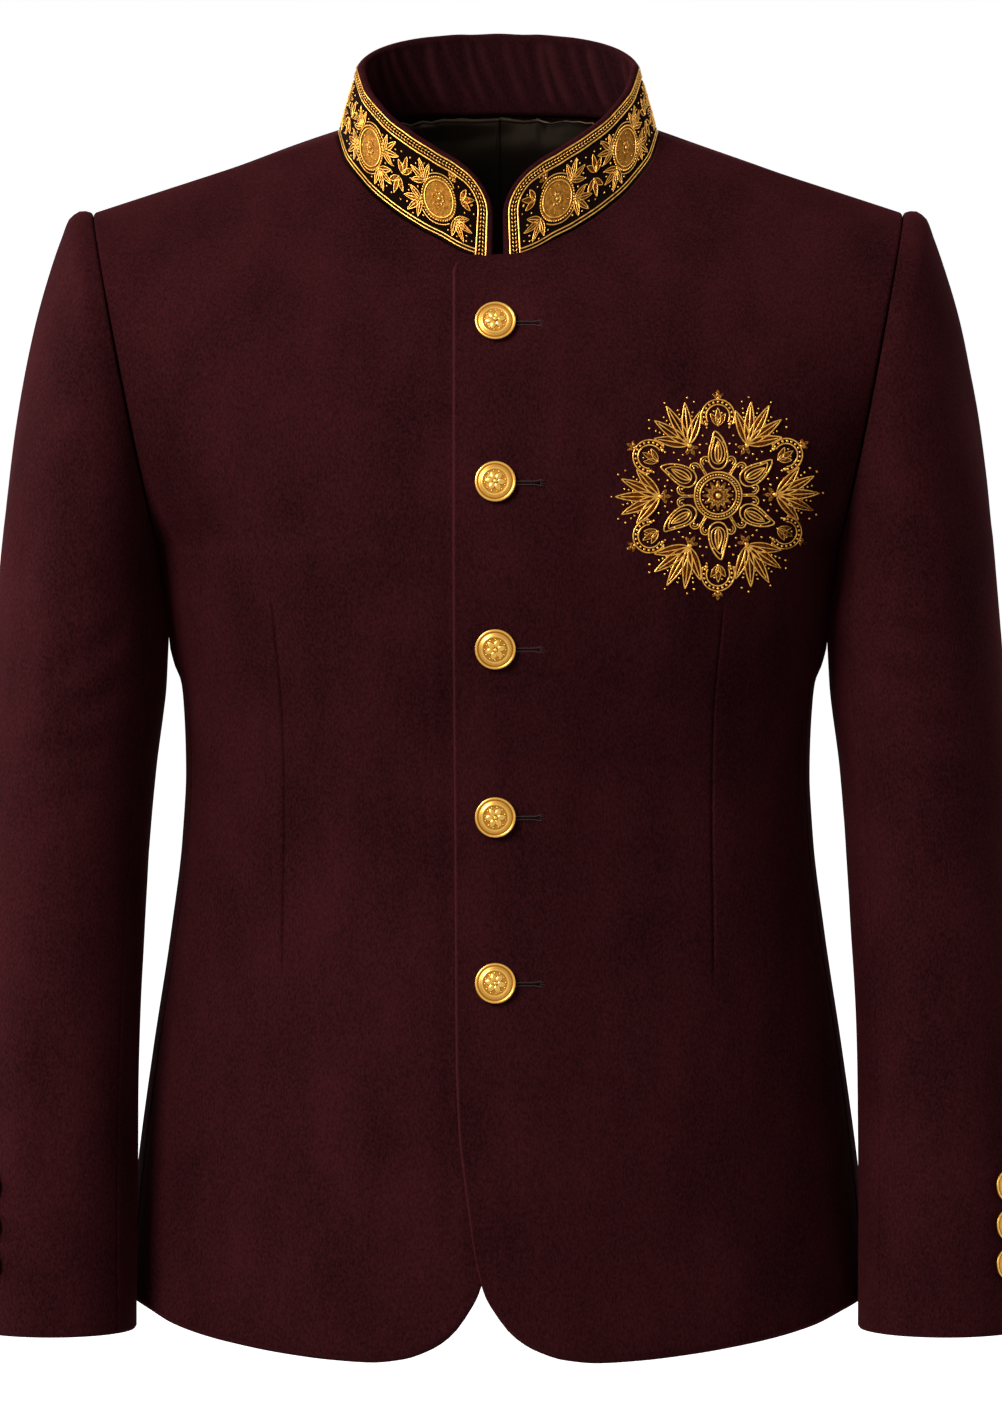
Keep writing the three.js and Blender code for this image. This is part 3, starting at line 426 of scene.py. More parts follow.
def gilt_wire():
    """Zardozi wire, drawn metal wound round a core: painted light on the crests of its turns, painted shade in their
    valleys and, dark brown, where it dips to the cloth, all under a random tarnish.
    """
    made, tree, shader = material("zardozi_gilt_wire", Roughness=0.3, Metallic=1.0)
    # stitch counts mm across the wires, 1.9 mm apart here to show where real ones are 0.4 mm; proud is
    # the height above the cloth in mm
    stitch, proud = (
        add(tree, "Attribute", {}, "Fac", attribute_name=name) for name in ("stitch", "proud")
    )
    # painted light and shade: the turns' crests are lighter and their valleys darker
    turns = add(tree, "Math", {0: stitch, 1: 2 * math.pi / 1.9}, operation="MULTIPLY")
    wave = add(tree, "Math", {0: turns}, operation="COSINE")
    ridge = add(tree, "MapRange", {"Value": wave, "From Min": -1.0, "To Min": 0.08})
    # painted shade: the wire darkens where it lies low, near the cloth
    painted_height_light = add(tree, "MapRange", {"Value": proud, "From Min": 0.25, "From Max": 0.85})
    tarnish = add(tree, "MapRange", {
        "Value": grain(tree, 420.0, 3.0), **NOISE_RANGE, "To Min": 0.45, "To Max": 1.1,
    })
    painted_light_and_shade = add(tree, "Math", {0: ridge, 1: painted_height_light}, operation="MULTIPLY")
    share = add(tree, "Math", {0: painted_light_and_shade, 1: tarnish}, operation="MULTIPLY")
    dress(tree, shader, share, "#5c2203", "#ffbf5a", ridge, 0.8, 0.3)
    return made


WOOL = napped_wool("brushed_wool_suiting", "#190608", "#381316")
# the collar facing is the suiting painted darker: painted shade for the inside of the collar
SHADED_FACING_WOOL = napped_wool("collar_facing_wool_painted_shade", "#140608", "#2c0f12")
# Satin woven of filament yarn: floats lie one way, so it mirrors light softly in long bands; slubs 1 mm across.
SATIN = plain_material("black_satin_weave", "#050302", "#0b0704", 900.0, 0.05, Roughness=0.36,
                       Specular_IOR_Level=0.65, Specular_Tint="#e0bc90")
# Cropped velvet under the gold work: nearly black because its pile, in 1.4 mm tufts, swallows light.
GROUND = plain_material("dark_velvet_ground", "#080201", "#140605", 700.0, 0.2, Roughness=0.95,
                        Specular_IOR_Level=0.03, Sheen_Weight=0.03)
# Silk buttonhole twist in the cloth's colour: smoother than wool, it glints a little on its 0.7 mm plies.
TWIST = plain_material("buttonhole_silk_twist", "#1f0b0c", "#351416", 1500.0, 0.1, Roughness=0.55,
                       Specular_IOR_Level=0.3)
# Gilt purl, chips sewn close together: a matt, stippled brown gold, 1.8 mm here where real chips are 1 mm.
PURL = plain_material("gilt_purl_chips", "#0e0400", "#c58634", 560.0, 1.6, Roughness=0.68, Metallic=1.0)
GILT = struck_gilt()
WIRE = gilt_wire()


# ---- pieces ----
def linked(name, data):
    """A new object in the scene."""
    made = bpy.data.objects.new(name, data)
    bpy.context.scene.collection.objects.link(made)
    return made


def mesh_of(name, bm):
    """A bmesh made a mesh and let go."""
    mesh = bpy.data.meshes.new(name)
    bm.normal_update()
    bm.to_mesh(mesh)
    bm.free()
    return mesh


def piece_of(name, bm, finishes, node):
    """A smooth-shaded piece of the jacket that stands for its CAD node, if it has one."""
    mesh = mesh_of(name, bm)
    mesh.shade_smooth()
    for finish in finishes:
        mesh.materials.append(finish)
    piece = linked(name, mesh)
    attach(piece, "root")
    if node:
        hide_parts(node)
    return piece


# ---- cloth ----
def spaced(width, step, finer=()):
    """Shares across a width, a step apart, with close ones at each named share."""
    marks = list(np.linspace(0, 1, max(2, round(width / step)) + 1))
    for share in finer:
        marks = [m for m in marks if abs(m - share) * width > 0.75 * step or m in (0, 1)]
        marks += [share + side * d / width for d in (0, 0.45, 0.9, 1.5, 2.3) for side in (-1, 1)]
    marks = sorted({round(min(1, max(0, m)), 7) for m in marks})
    return np.array([m for i, m in enumerate(marks) if i == 0 or m - marks[i - 1] > 0.12 / width])


def hill(gap, width):
    """A soft swell, 1 at its middle, that falls away over a width."""
    return np.exp(-((gap / width) ** 2))


def crease_push(across, up, creases):
    """How far creases move a cloth's face; each is a bent trough beside a ridge, in the cloth's own mm."""
    push = np.zeros(len(across))
    t = np.linspace(0, 1, 26)
    for s0, t0, s1, t1, bend, width, depth in creases:
        ds, dt = s1 - s0, t1 - t0
        long = math.hypot(ds, dt)
        bow = bend * 4 * t * (1 - t)
        line_s, line_t = s0 + ds * t - dt / long * bow, t0 + dt * t + ds / long * bow
        gap_s, gap_t = across[:, None] - line_s, up[:, None] - line_t
        gaps = gap_s**2 + gap_t**2
        near = gaps.argmin(1)
        rows = np.arange(len(near))
        side = (gap_s[rows, near] * -dt + gap_t[rows, near] * ds) / long
        away = np.sqrt(gaps[rows, near])
        signed = np.where(side < 0, -away, away)
        fade = np.sin(math.pi * np.clip(t[near], 0.02, 0.98)) ** 0.8
        worn = 1 + 0.25 * np.sin(9 * t[near] + s0)
        push += depth * fade * worn * (0.55 * hill(signed - 1.7 * width, 1.2 * width) - hill(signed, width))
    return push


def moved(creases, by, deeper=1.0):
    """The same creases with both ends shifted, for the other side of the jacket."""
    return np.array(creases) * (1, 1, 1, 1, 1, 1, deeper) + (*by, 0, 0, 0)


def ripple(across, up, size, seed):
    """The slow unevenness of hung cloth, in mm."""
    chance = np.random.default_rng(SEED + seed)
    push = np.zeros(len(across))
    for wave in (210, 130, 84):
        angle, phase = chance.uniform(-0.5, 0.5), chance.uniform(0, 6.28, 2)
        push += (wave / 210) * np.sin(
            2 * math.pi * (across * math.cos(angle) + up * math.sin(angle) * 0.6) / wave + phase[0]
        ) * np.sin(2 * math.pi * up / (2.7 * wave) + phase[1])
    return size * push


def cloth(name, node, rows, columns, place, creases=(), rolls=(0.8, 0.8, 1.0, 0.8), seed=0, extra=None,
          mirror=False, edge_highlight=(0, 0, 0.6, 0), wear_and_fold_light=0.0, uneven=0.5, roll_width=1.7, finishes=(WOOL,),
          thick=CLOTH):
    """A grid of cloth laid on its surface, creased and walled, its left, right, hem and top edges rolled in."""
    bm = bmesh.new()
    bmesh.ops.create_grid(bm, x_segments=len(columns) - 1, y_segments=rows - 1, size=1)
    at = np.array([v.co[:2] for v in bm.verts])
    c, r = np.rint((at + 1) / 2 * (len(columns) - 1, rows - 1)).astype(int).T
    points, normals = place(r, columns[c])
    grid = np.zeros((rows, len(columns), 3))
    grid[r, c] = points
    run, climb = (
        np.insert(np.cumsum(np.linalg.norm(np.diff(grid, axis=way), axis=2), way), 0, 0, way) for way in (1, 0)
    )
    across, up = run[r, c], climb[r, c]
    far, over = run[r, -1] - across, climb[-1, c] - up
    # every panel's creases die away at its seams, so that neighbours still meet
    push = crease_push(across, up, creases) + ripple(across, up, uneven, seed)
    push *= soft(np.minimum.reduce([across, far, over]) / CALM_SEAM)
    own = extra(across, up, over, points, columns[c]) if extra else 0 * push
    push = push + own
    gaps = (across, far, up, over)
    for gap, depth in zip(gaps, rolls):
        push = push - depth * (1 - soft(gap / roll_width)) ** 1.5
    placed = points + normals * push[:, None]
    if mirror:
        placed[:, 0] *= -1
    uv, edge = bm.loops.layers.uv.new("cut"), bm.verts.layers.float.new("edge")
    # painted highlight: each edge's share lightens a line about 1 mm wide along it, and the last share lightens the
    # cloth where its extra shape moves it inward, on the ridges of the collar facing's folds
    painted_edge_light = np.max([share * hill(gap, 1) for gap, share in zip(gaps, edge_highlight)] + [wear_and_fold_light * np.clip(-own, 0, 2)], 0)
    for v, p, nap in zip(bm.verts, placed * MM, painted_edge_light):
        v.co, v[edge] = p, nap
    flat = np.column_stack([across, up]) * MM
    for face in bm.faces:
        for loop in face.loops:
            loop[uv].uv = flat[loop.vert.index]
    if mirror:
        bmesh.ops.reverse_faces(bm, faces=bm.faces[:])
    piece = piece_of(name, bm, finishes, node)
    wall = piece.modifiers.new("wall", "SOLIDIFY")
    wall.thickness, wall.offset, wall.use_quality_normals = thick * MM, -1, True
    return piece


# ---- fronts ----
def neck_rows(turns):
    """u and climb of the neckline at each turn, and one row past the shoulder seam, which closes it."""
    u, up, _ = neck_spots(turns)
    return np.append(u, u[-1]), np.append(up, PAST_SEAM)


def front_rows():
    """Each fine row of a front: its hem share, climb and where the neckline cuts it."""
    hem = np.linspace(0, 1, HEM_ROWS + 1)[:-1]
    climb = np.linspace(climb_of(HEM_ZONE), NECK_LEAVE[-1], FRONT_ROWS)
    # neckline rows rise by even steps of climb, so that they follow on from the rows below
    turns = np.linspace(0.5, SHOULDER_TURN, 300)
    up = neck_spots(turns)[1]
    u, up = neck_rows(np.interp(np.linspace(NECK_LEAVE[-1] + 0.007, up[-1], FRONT_NECK_ROWS), up, turns))
    rise = np.concatenate([hem, np.full(FRONT_ROWS + len(u), np.nan)])
    neck = np.concatenate([np.full(HEM_ROWS + FRONT_ROWS, np.nan), u])
    return rise, np.concatenate([hem * 0, climb, up]), neck


FRONT_RISE, FRONT_CLIMB, FRONT_NECK = front_rows()
DART = [(-520, 121), (-470, 122.5), (-384, 121.5), (-331, 122.3), (-303, 124.2), (-273, 127), (-200, 131)]
DART_SHARE = 0.6


def front_place(over):
    """Places on one front; its columns bend so that one of them follows the dart."""
    shift = 0 if over else UNDER_SHIFT

    def place(row, share):
        rise, climb, neck = FRONT_RISE[row], FRONT_CLIMB[row], FRONT_NECK[row]
        low = reach_of(-1, HEM_CORNER[0] + shift, climb_of([HEM_CORNER[1]]))[0]
        base = float(climb_of(HEM_FOOT))
        foot = body(-1, mix(low, side_seam(-1, base), share), np.full(len(share), base))[:, 0]
        hem = climb_of(mix(read(FRONT_HEM, foot - shift * (1 - share))[0], HEM_ZONE, np.nan_to_num(rise)))
        climb = np.where(np.isnan(rise), climb, hem)
        z = body(-1, np.zeros(len(climb)), np.minimum(climb, NECK_LEAVE[-1]))[:, 2]
        reach = read(FRONT_EDGE, z)[0]
        edge = reach if over else mix(reach + shift, -OVERLAP, soft((z + 650) / 120))
        short = np.maximum(0, TOP_CORNER - np.maximum(0, NECK_FRONT - z))
        corner = TOP_CORNER - np.sqrt(np.maximum(0, TOP_CORNER**2 - short**2))
        start = np.where(np.isnan(neck), reach_of(-1, edge + corner, climb), np.nan_to_num(neck))
        end = side_seam(-1, climb)
        dart = np.clip((reach_of(-1, read(DART, z)[0], climb) - start) / (end - start), 0.3, 0.8)
        dart = mix(DART_SHARE, dart, soft((z + 545) / 40) * soft((-190 - z) / 60))
        share = np.where(
            share < DART_SHARE, share * dart / DART_SHARE, 1 - (1 - share) * (1 - dart) / (1 - DART_SHARE)
        )
        u = mix(start, end, share)
        return body_place(-1, u, climb, over * over_lift(body(-1, u, climb)[:, 0], climb))[:2]

    return place


def dart_fold(points):
    """The dart's fine valley, from just under the chest to above the hem."""
    z = points[:, 2]
    gap = points[:, 0] - read(DART, z)[0]
    run = soft((z + 486) / 26) * soft((-258 - z) / 22)
    pinch = soft((z + 520) / 90) * soft((-230 - z) / 90)
    return -1.5 * run * hill(gap, 0.7) - 0.3 * pinch * hill(gap, 16)


def lapped_edge(across, up, over, points, share):
    """The buttonhole side's edge: ironed flat over its canvas into a soft ridge that turns down steeply."""
    return 0.4 * hill(across - 1.5, 1.1) - 1.5 * (1 - soft(across / 1.2)) ** 1.6 + dart_fold(points)


def lapped_bed(across, up, over, points, share):
    """The button side dips a little where the other side's edge presses on it."""
    x, _, z = points.T
    dip = -1.5 * hill(x - 27.5, 3.2) * soft((z + 640) / 30)
    return dip * soft((NECK_FRONT - 6 - z) / 20) + dart_fold(points)


FRONT_CREASES = [
    # soft pulls from the armhole towards the chest and the waist
    (252, 430, 186, 330, 8, 11, 1.0), (258, 400, 214, 296, 6, 9, 0.8), (262, 470, 228, 410, -6, 9, 0.9),
    (238, 300, 206, 210, 5, 12, 0.8), (60, 560, 36, 440, 4, 12, 0.6), (30, 330, 26, 200, 3, 10, 0.5),
    (120, 150, 150, 30, -8, 20, 0.9), (200, 190, 214, 60, -6, 18, 0.9), (60, 180, 46, 40, 6, 18, 0.8),
]
front_columns = spaced(245, 3.4, (0, DART_SHARE, 1))
cloth("over_front", "front_left", len(FRONT_RISE), front_columns, front_place(True), FRONT_CREASES,
      rolls=(0, 0.8, 1.1, 0.8), seed=1, extra=lapped_edge, edge_highlight=(0.6, 0, 0.6, 0.3))
cloth("under_front", "front_right", len(FRONT_RISE), front_columns, front_place(False),
      moved(FRONT_CREASES, (4, -12, 2, -8), 0.9), rolls=(1.1, 0.8, 1.1, 0.8), seed=2, extra=lapped_bed, mirror=True)


# ---- backs ----
def back_rows():
    """Each fine row of a back: its climb and where the neckline cuts it."""
    climb = np.linspace(float(climb_of(BACK_HEM)), NECK_LEAVE[1], BACK_ROWS)
    u, up = neck_rows(np.linspace(179, 180 - SHOULDER_TURN, 24))
    return np.concatenate([climb, up]), np.concatenate([climb * 0, u])


BACK_CLIMB, BACK_START = back_rows()
BACK_CREASES = [
    (20, 470, 90, 400, 10, 16, 1.3), (10, 380, 70, 330, 8, 15, 1.2), (40, 300, 150, 262, 10, 12, 1.3),
    (30, 268, 140, 240, 8, 11, 1.1), (60, 120, 80, 20, 4, 20, 1.2), (130, 150, 140, 24, -4, 20, 1.0),
]


def back_place(row, share):
    climb = BACK_CLIMB[row]
    return body_place(1, mix(BACK_START[row], side_seam(1, climb), 1 - share), climb)[:2]


# ---- side bodies ----
SIDE_LEVELS = np.concatenate([np.linspace(0, 1, 30)[:-1], np.linspace(1, 2, 96)[:-1], np.linspace(2, 3, 28)])
SIDE_CREASES = [(30, 330, 66, 300, 5, 9, 1.1), (24, 296, 60, 268, 5, 9, 1.0), (44, 150, 46, 20, 3, 14, 0.9)]


def side_place(row, share):
    """The side body, hem share below 1, then up to the underarm, then into the armhole's point."""
    level = SIDE_LEVELS[row]
    away = np.abs(1 - 2 * share)
    made = []
    for face in (-1, 1):
        seam, top = SIDE_SEAM[face]
        hem = mix(SIDE_HEM, SIDE_SEAM_HEM if face < 0 else BACK_HEM, away)
        z = np.where(level < 1, mix(hem, HEM_ZONE, level), mix(HEM_ZONE, UNDERARM[2], np.clip(level - 1, 0, 1)))
        climb = np.where(level <= 2, climb_of(z), away * top * (level - 2))
        narrow = np.where((climb > 0) & (away > 0), 1 - climb / np.maximum(away * top, 1e-9), 1)
        u = np.minimum(1 - (1 - seam) * away * np.clip(narrow, 0, 1), 1)
        made.append(body_place(face, u, climb)[:2])
    front = (share < 0.5)[:, None]
    return [np.where(front, ahead, behind) for ahead, behind in zip(*made)]


def side_swell(across, up, over, points, share):
    """Under the arm the side fills out until it touches the sleeve."""
    full = np.interp(points[:, 2], (-314, -305, -296, -285, -262, -250, -243, -238, -232),
                     (0, 2.2, 2.9, 2.3, 1.8, 2.0, 1.2, 1.0, 0))
    return full * hill(share - 0.5, 0.32)


# ---- sleeves ----
RINGS = np.linspace(0, 17, 400)


def sleeve_rings():
    """The sleeve's ring at each fine row, from the cuff up, closest together at both ends."""
    outline = sleeve(np.full(len(RINGS), 40.0), RINGS)
    runs = runs_of(outline)
    wanted = [[0, 0.5, 1.0, 1.7, 2.6], np.linspace(4.2, runs[-1] - 2.4, 184), runs[-1] - np.array([1.5, 0.9, 0.4, 0])]
    return np.interp(np.concatenate(wanted), runs, RINGS)[::-1]


SLEEVE_RINGS = sleeve_rings()


def sleeve_place(start, end):
    def place(row, share):
        turn, ring = mix(start, end, share), SLEEVE_RINGS[row]
        normal = shape_at(sleeve, turn, np.maximum(ring, 0.02), 0.01)[0]
        return sleeve(turn, ring) + np.where(ring == 0, 0.35, 0)[:, None] * np.array([1, 0, -0.2]), normal
    return place


# bends at the inner elbow, drags under the head and a few long soft ones down the arm
TOP_CREASES = [
    (14, 420, 74, 396, -8, 9, 1.7), (10, 388, 66, 372, -7, 9, 1.6), (14, 350, 80, 352, -6, 10, 1.5),
    (20, 320, 70, 300, 7, 9, 1.1), (60, 520, 90, 430, 10, 14, 1.3), (150, 560, 150, 450, -8, 14, 1.0),
    (96, 300, 112, 120, 5, 16, 1.2), (50, 200, 44, 60, -4, 12, 1.0), (150, 260, 158, 90, -6, 15, 1.0),
]
UNDER_CREASES = [
    (20, 330, 90, 300, 8, 9, 1.8), (16, 300, 84, 276, 8, 9, 1.6), (30, 262, 96, 252, 6, 10, 1.4),
    (60, 420, 92, 350, -8, 12, 1.3), (60, 200, 64, 60, 4, 12, 1.1),
]

# ---- back, side and sleeves come in pairs; the right's creases are shifted a little ----
for name, node, rows, columns, place, creases, by, deeper, top_roll, seed, extra in (
    ("back", "back", len(BACK_CLIMB), spaced(215, 3.6, (0, 1)), back_place, BACK_CREASES,
     (6, 14, 3, 10), 1.0, 0.8, 3, None),
    ("side_body", "side", len(SIDE_LEVELS), spaced(90, 3.4, (0, 1)), side_place, SIDE_CREASES,
     (0, 0, 0, 0), 1.0, 0.0, 5, side_swell),
    ("top_sleeve", "sleeve_top", len(SLEEVE_RINGS), spaced(205, 3.6, (0, 1)),
     sleeve_place(FOREARM_SEAM, HINDARM_SEAM), TOP_CREASES, (5, -10, 0, -16), 0.9, 0.9, 8, None),
    ("under_sleeve", "sleeve_under", len(SLEEVE_RINGS), spaced(150, 3.6, (0, 1)),
     sleeve_place(HINDARM_SEAM, FOREARM_SEAM - 360), UNDER_CREASES, (5, -10, 0, -16), 0.9, 0.9, 8, None),
):
    for right, side in enumerate(("left", "right")):
        cloth(f"{name}_on_wearers_{side}", f"{node}_{side}", rows, columns, place,
              moved(creases, by, deeper) if right else creases, rolls=(0.8, 0.8, 1.0, top_roll),
              seed=seed + right, extra=extra, mirror=right)

# ---- collar ----
collar_columns = np.concatenate([
    COLLAR_CORNER * (1 - np.cos(np.linspace(0, math.pi / 2, 10)))[:-1] / WHOLE_COLLAR,
    np.linspace(COLLAR_CORNER, WHOLE_COLLAR - COLLAR_CORNER, 190) / WHOLE_COLLAR,
])
collar_columns = np.unique(np.concatenate([collar_columns, 1 - collar_columns[:9]]))


def collar_place(rows, lift, inset):
    def place(row, share):
        along = np.clip(share * WHOLE_COLLAR, inset, WHOLE_COLLAR - inset)
        high = mix(SEAM, collar_top(along, inset), row / (rows - 1))
        point, normal = collar_surface(along, high)
        return point + normal * lift, normal
    return place


fold_draws = np.random.default_rng(SEED)
FACING_FOLDS = [
    # place along the collar, width, height and lean of each eased ridge
    (place, fold_draws.uniform(1.5, 3.2), fold_draws.uniform(0.5, 1.6), fold_draws.uniform(-0.14, 0.14))
    for place in np.cumsum(fold_draws.uniform(6, 14, 50))
]


def facing_ridges(across, up, over, points, share):
    """The collar's inside is eased into soft upright ridges, 6 to 14 mm apart, each leaning its own way."""
    push = 0.25 * np.sin(across / 3.9 + 1)
    for place, width, height, lean in FACING_FOLDS:
        gap = across - place - lean * (up - 20)
        push = push - height * hill(gap, width) + 0.6 * height * hill(gap - 1.8 * width, width)
    return push * soft(up / 12) * soft(over / 9)


outer = cloth("collar_outer_cloth", "collar_outer", OUTER_ROWS, collar_columns, collar_place(OUTER_ROWS, 0, 0),
              rolls=(0.5, 0.5, 0.0, 0.5), uneven=0, roll_width=1.2, edge_highlight=(0,) * 4, finishes=(WOOL, GROUND))
facing_columns = np.sort(np.concatenate([collar_columns, (collar_columns[1:] + collar_columns[:-1]) / 2]))
# the ridges of the facing's folds are painted lighter through the edge attribute: painted light
cloth("collar_facing_cloth", "collar_facing", FACING_ROWS, facing_columns,
      collar_place(FACING_ROWS, -CLOTH - SEAM, 0.4), rolls=(0,) * 4, uneven=0, extra=facing_ridges,
      edge_highlight=(0,) * 4, wear_and_fold_light=0.26, finishes=(SHADED_FACING_WOOL,), thick=FACING)

# ---- lining ----
LINING_ROWS = 110
LINING_CLIMB = np.linspace(NECK_LEAVE[1], 0.983, 40)
LINING_U = np.interp(LINING_CLIMB, BACK_CLIMB[BACK_ROWS:], BACK_START[BACK_ROWS:], left=0)


def lining_place(row, share):
    """The back's lining: its top follows the neckline, then stops just short of the shoulder seams."""
    half = np.abs(share - 0.5) * 2
    top = np.interp(half, LINING_U, LINING_CLIMB) - 0.023 * soft((half - 0.6) / 0.3)
    climb = row / (LINING_ROWS - 1) * top
    made = body_place(1, half * side_seam(1, climb), climb, -(CLOTH + 2.5 * SEAM))[:2]
    return made * points_of(np.where(share < 0.5, 1, -1), 1, 1)


def lining_puckers(across, up, over, points, share):
    """Gathers hanging from the collar seam, slack below them, and the centre back seam's fine line."""
    fall = np.clip(over, 0, None)
    gather = np.sin(across / 4.6 + 1.7 * np.sin(across / 17)) + 0.6 * np.sin(across / 9.3 + 2)
    slack = np.sin(across / 23 + 1) * np.sin(fall / 19 + 0.4 * np.sin(across / 31))
    seam = -0.45 * hill(points[:, 0], 0.9) - 0.3 * hill(points[:, 0], 6)
    return seam - np.abs(gather) * 1.9 * np.exp(-fall / 18) - 2.1 * (1 + slack) * soft(fall / 14) * np.exp(-fall / 95)


cloth("satin_back_lining", "lining_back", LINING_ROWS, spaced(420, 3.6, (0.5,)), lining_place, rolls=(0,) * 4,
      uneven=0.7, seed=11, extra=lining_puckers, finishes=(SATIN,), thick=LINING)

# ---- gold work: made flat in mm (across, up, proud of the cloth), then laid on its surface ----
class Work:
    """Gold work in hand: small shapes go into a fresh bmesh at a time, which keeps each operator quick."""

    def __init__(self, lines=(), sides=1):
        self.done = [thread_mesh(lines, sides)] if lines else []
        self.fresh()

    def fresh(self):
        self.bm = bmesh.new()
        self.proud, self.stitch = (self.bm.verts.layers.float.new(name) for name in ("proud", "stitch"))

    def room(self):
        """The bmesh to add the next shape to."""
        if len(self.bm.verts) > 500:
            self.put_by()
        return self.bm

    def put_by(self):
        held = bpy.data.meshes.new("held")
        self.bm.to_mesh(held)
        self.bm.free()
        self.done.append(held)
        self.fresh()

    def whole(self):
        """Everything made so far as one bmesh."""
        self.put_by()
        for held in self.done:
            self.bm.from_mesh(held)
            bpy.data.meshes.remove(held)
        return self.bm


def thread_mesh(lines, sides=1):
    """Round threads; each line is (radius, closed, rows of across, up, proud)."""
    curve = bpy.data.curves.new("threads", "CURVE")
    curve.dimensions, curve.bevel_depth, curve.bevel_resolution = "3D", 1, sides
    curve.twist_mode, curve.use_fill_caps = "Z_UP", True
    for radius, closed, line in lines:
        spline = curve.splines.new("POLY")
        spline.points.add(len(line) - 1)
        spline.points.foreach_set("co", np.column_stack([line, np.ones(len(line))]).ravel())
        spline.points.foreach_set("radius", np.full(len(line), radius))
        spline.use_cyclic_u = closed
    holder = linked("threads", curve)
    mesh = bpy.data.meshes.new_from_object(holder.evaluated_get(bpy.context.evaluated_depsgraph_get()))
    mesh.attributes.new("stitch", "FLOAT", "POINT")
    bpy.data.objects.remove(holder)
    bpy.data.curves.remove(curve)
    return mesh


def raised(line, proud):
    """Flat places with their height above the cloth."""
    return np.column_stack([line, np.broadcast_to(proud, len(line))])


def ahead(turn, reach=1.0, aside=0.0):
    """Steps that go a reach along a heading in degrees, and aside to its left."""
    angle = math.radians(turn)
    out, left = (math.cos(angle), math.sin(angle)), (-math.sin(angle), math.cos(angle))
    return np.multiply.outer(reach, out) + np.multiply.outer(aside, left)


def ring_line(spot, radius, start=0.0, end=360.0):
    """Flat places round a ring, or an arc, in degrees from the right, anticlockwise."""
    count = max(6, round(radius * math.radians(abs(end - start)) / 0.9))
    turn = np.radians(np.linspace(start, end, count, endpoint=abs(end - start) < 360))
    return spot + radius * np.column_stack([np.cos(turn), np.sin(turn)])


def bead(work, spot, proud, wide, high):
    bmesh.ops.create_icosphere(
        work.room(), subdivisions=1, radius=1,
        matrix=Matrix.LocRotScale(Vector((*spot, proud)), None, Vector((wide, wide, high))),
    )


def stitches(work, line, pitch, size, slant, proud, closed=False):
    """Short slanted stitches along a line, as a twisted cord shows: size is length, width, height."""
    line = np.vstack([line, line[:1]]) if closed else line
    steps, runs = np.diff(line, axis=0), runs_of(line)
    count = max(2, round(runs[-1] / pitch))
    for at in (np.arange(count) + 0.5) * runs[-1] / count:
        i = min(len(steps) - 1, int(np.searchsorted(runs, at, "right")) - 1)
        spot = line[i] + steps[i] * (at - runs[i]) / (runs[i + 1] - runs[i])
        turned = Matrix.Rotation(math.atan2(*steps[i][::-1]) + math.radians(slant), 3, "Z")
        bmesh.ops.create_uvsphere(
            work.room(), u_segments=6, v_segments=4, radius=1,
            matrix=Matrix.LocRotScale(Vector((*spot, proud)), turned, Vector(size) / 2),
        )


def leaf(work, spot, heading, long, wide, proud=1.0, veins=None):
    """A pointed leaf couched in slanting wires each side of a sunk midrib; veins, a list, take an outline and rib."""
    made = bmesh.ops.create_uvsphere(work.room(), u_segments=8, v_segments=8, radius=1)["verts"]
    if veins is not None:
        heavy = wide > 4.2
        t = np.linspace(0, 1, 12)
        half = 0.86 * wide / 2 * np.sin(math.pi * t**0.8) ** 0.85
        for run, aside in ((t, -half), (t, half), (0.08 + 0.8 * t, 0 * t))[: 3 if wide > 3.6 else 2]:
            line = raised(spot + ahead(heading, long * run, aside), 0.55 + 0.3 * proud * np.sin(math.pi * t))
            veins.append((0.44 if heavy else 0.25, False, line))
        # the body sinks lower, so between its veins it falls into the wire's painted shade
        proud *= 0.35 if heavy else 0.6
    across, up, along = np.array([v.co for v in made]).T
    t = (along + 1) / 2
    swell = np.sin(math.pi * t**0.8) ** 0.85 / np.maximum(0.05, np.sqrt(np.maximum(0, 1 - along**2)))
    aside = across * wide / 2 * np.minimum(swell, 1.6)
    high = np.where(up > 0, proud * up * np.where(np.abs(across) < 0.1, 0.45, 1), 0.3 * up)
    line = raised(spot + ahead(heading, long * t, aside), high)
    for v, place, stitch in zip(made, line, long * t * 0.8 + np.abs(aside) * 1.1):
        v.co, v[work.stitch] = place, stitch


def spray(work, spot, heading, long, wide, count=4, spread=110, proud=1.0, beads=1, veins=None):
    """Leaves fanned from one stalk, with rows of beads running out between them."""
    for i in range(count):
        share = i / (count - 1) - 0.5
        turn = heading + share * spread
        leaf(work, spot, turn, long * (1 - 0.8 * share * share), wide, proud, veins)
        if i < count - 1:
            for reach in np.linspace(0.84, 0.42, beads) * long * (1 - 0.5 * share * share):
                bead(work, spot + ahead(turn + spread / (count - 1) / 2, reach), 0.55, 0.7, 0.65)
    bead(work, spot, 0.7, 1.0, 0.85)


def lay(work, surface):
    """Moves flat work onto a surface: across and up along it, proud along its outward normal."""
    bm = work.whole()
    proud = bm.verts.layers.float["proud"]
    flat = np.array([v.co for v in bm.verts])
    points, normals = surface(flat[:, 0], flat[:, 1])
    for v, p, high in zip(bm.verts, (points + normals * flat[:, 2:3]) * MM, flat[:, 2]):
        v.co, v[proud] = p, high
    return bm


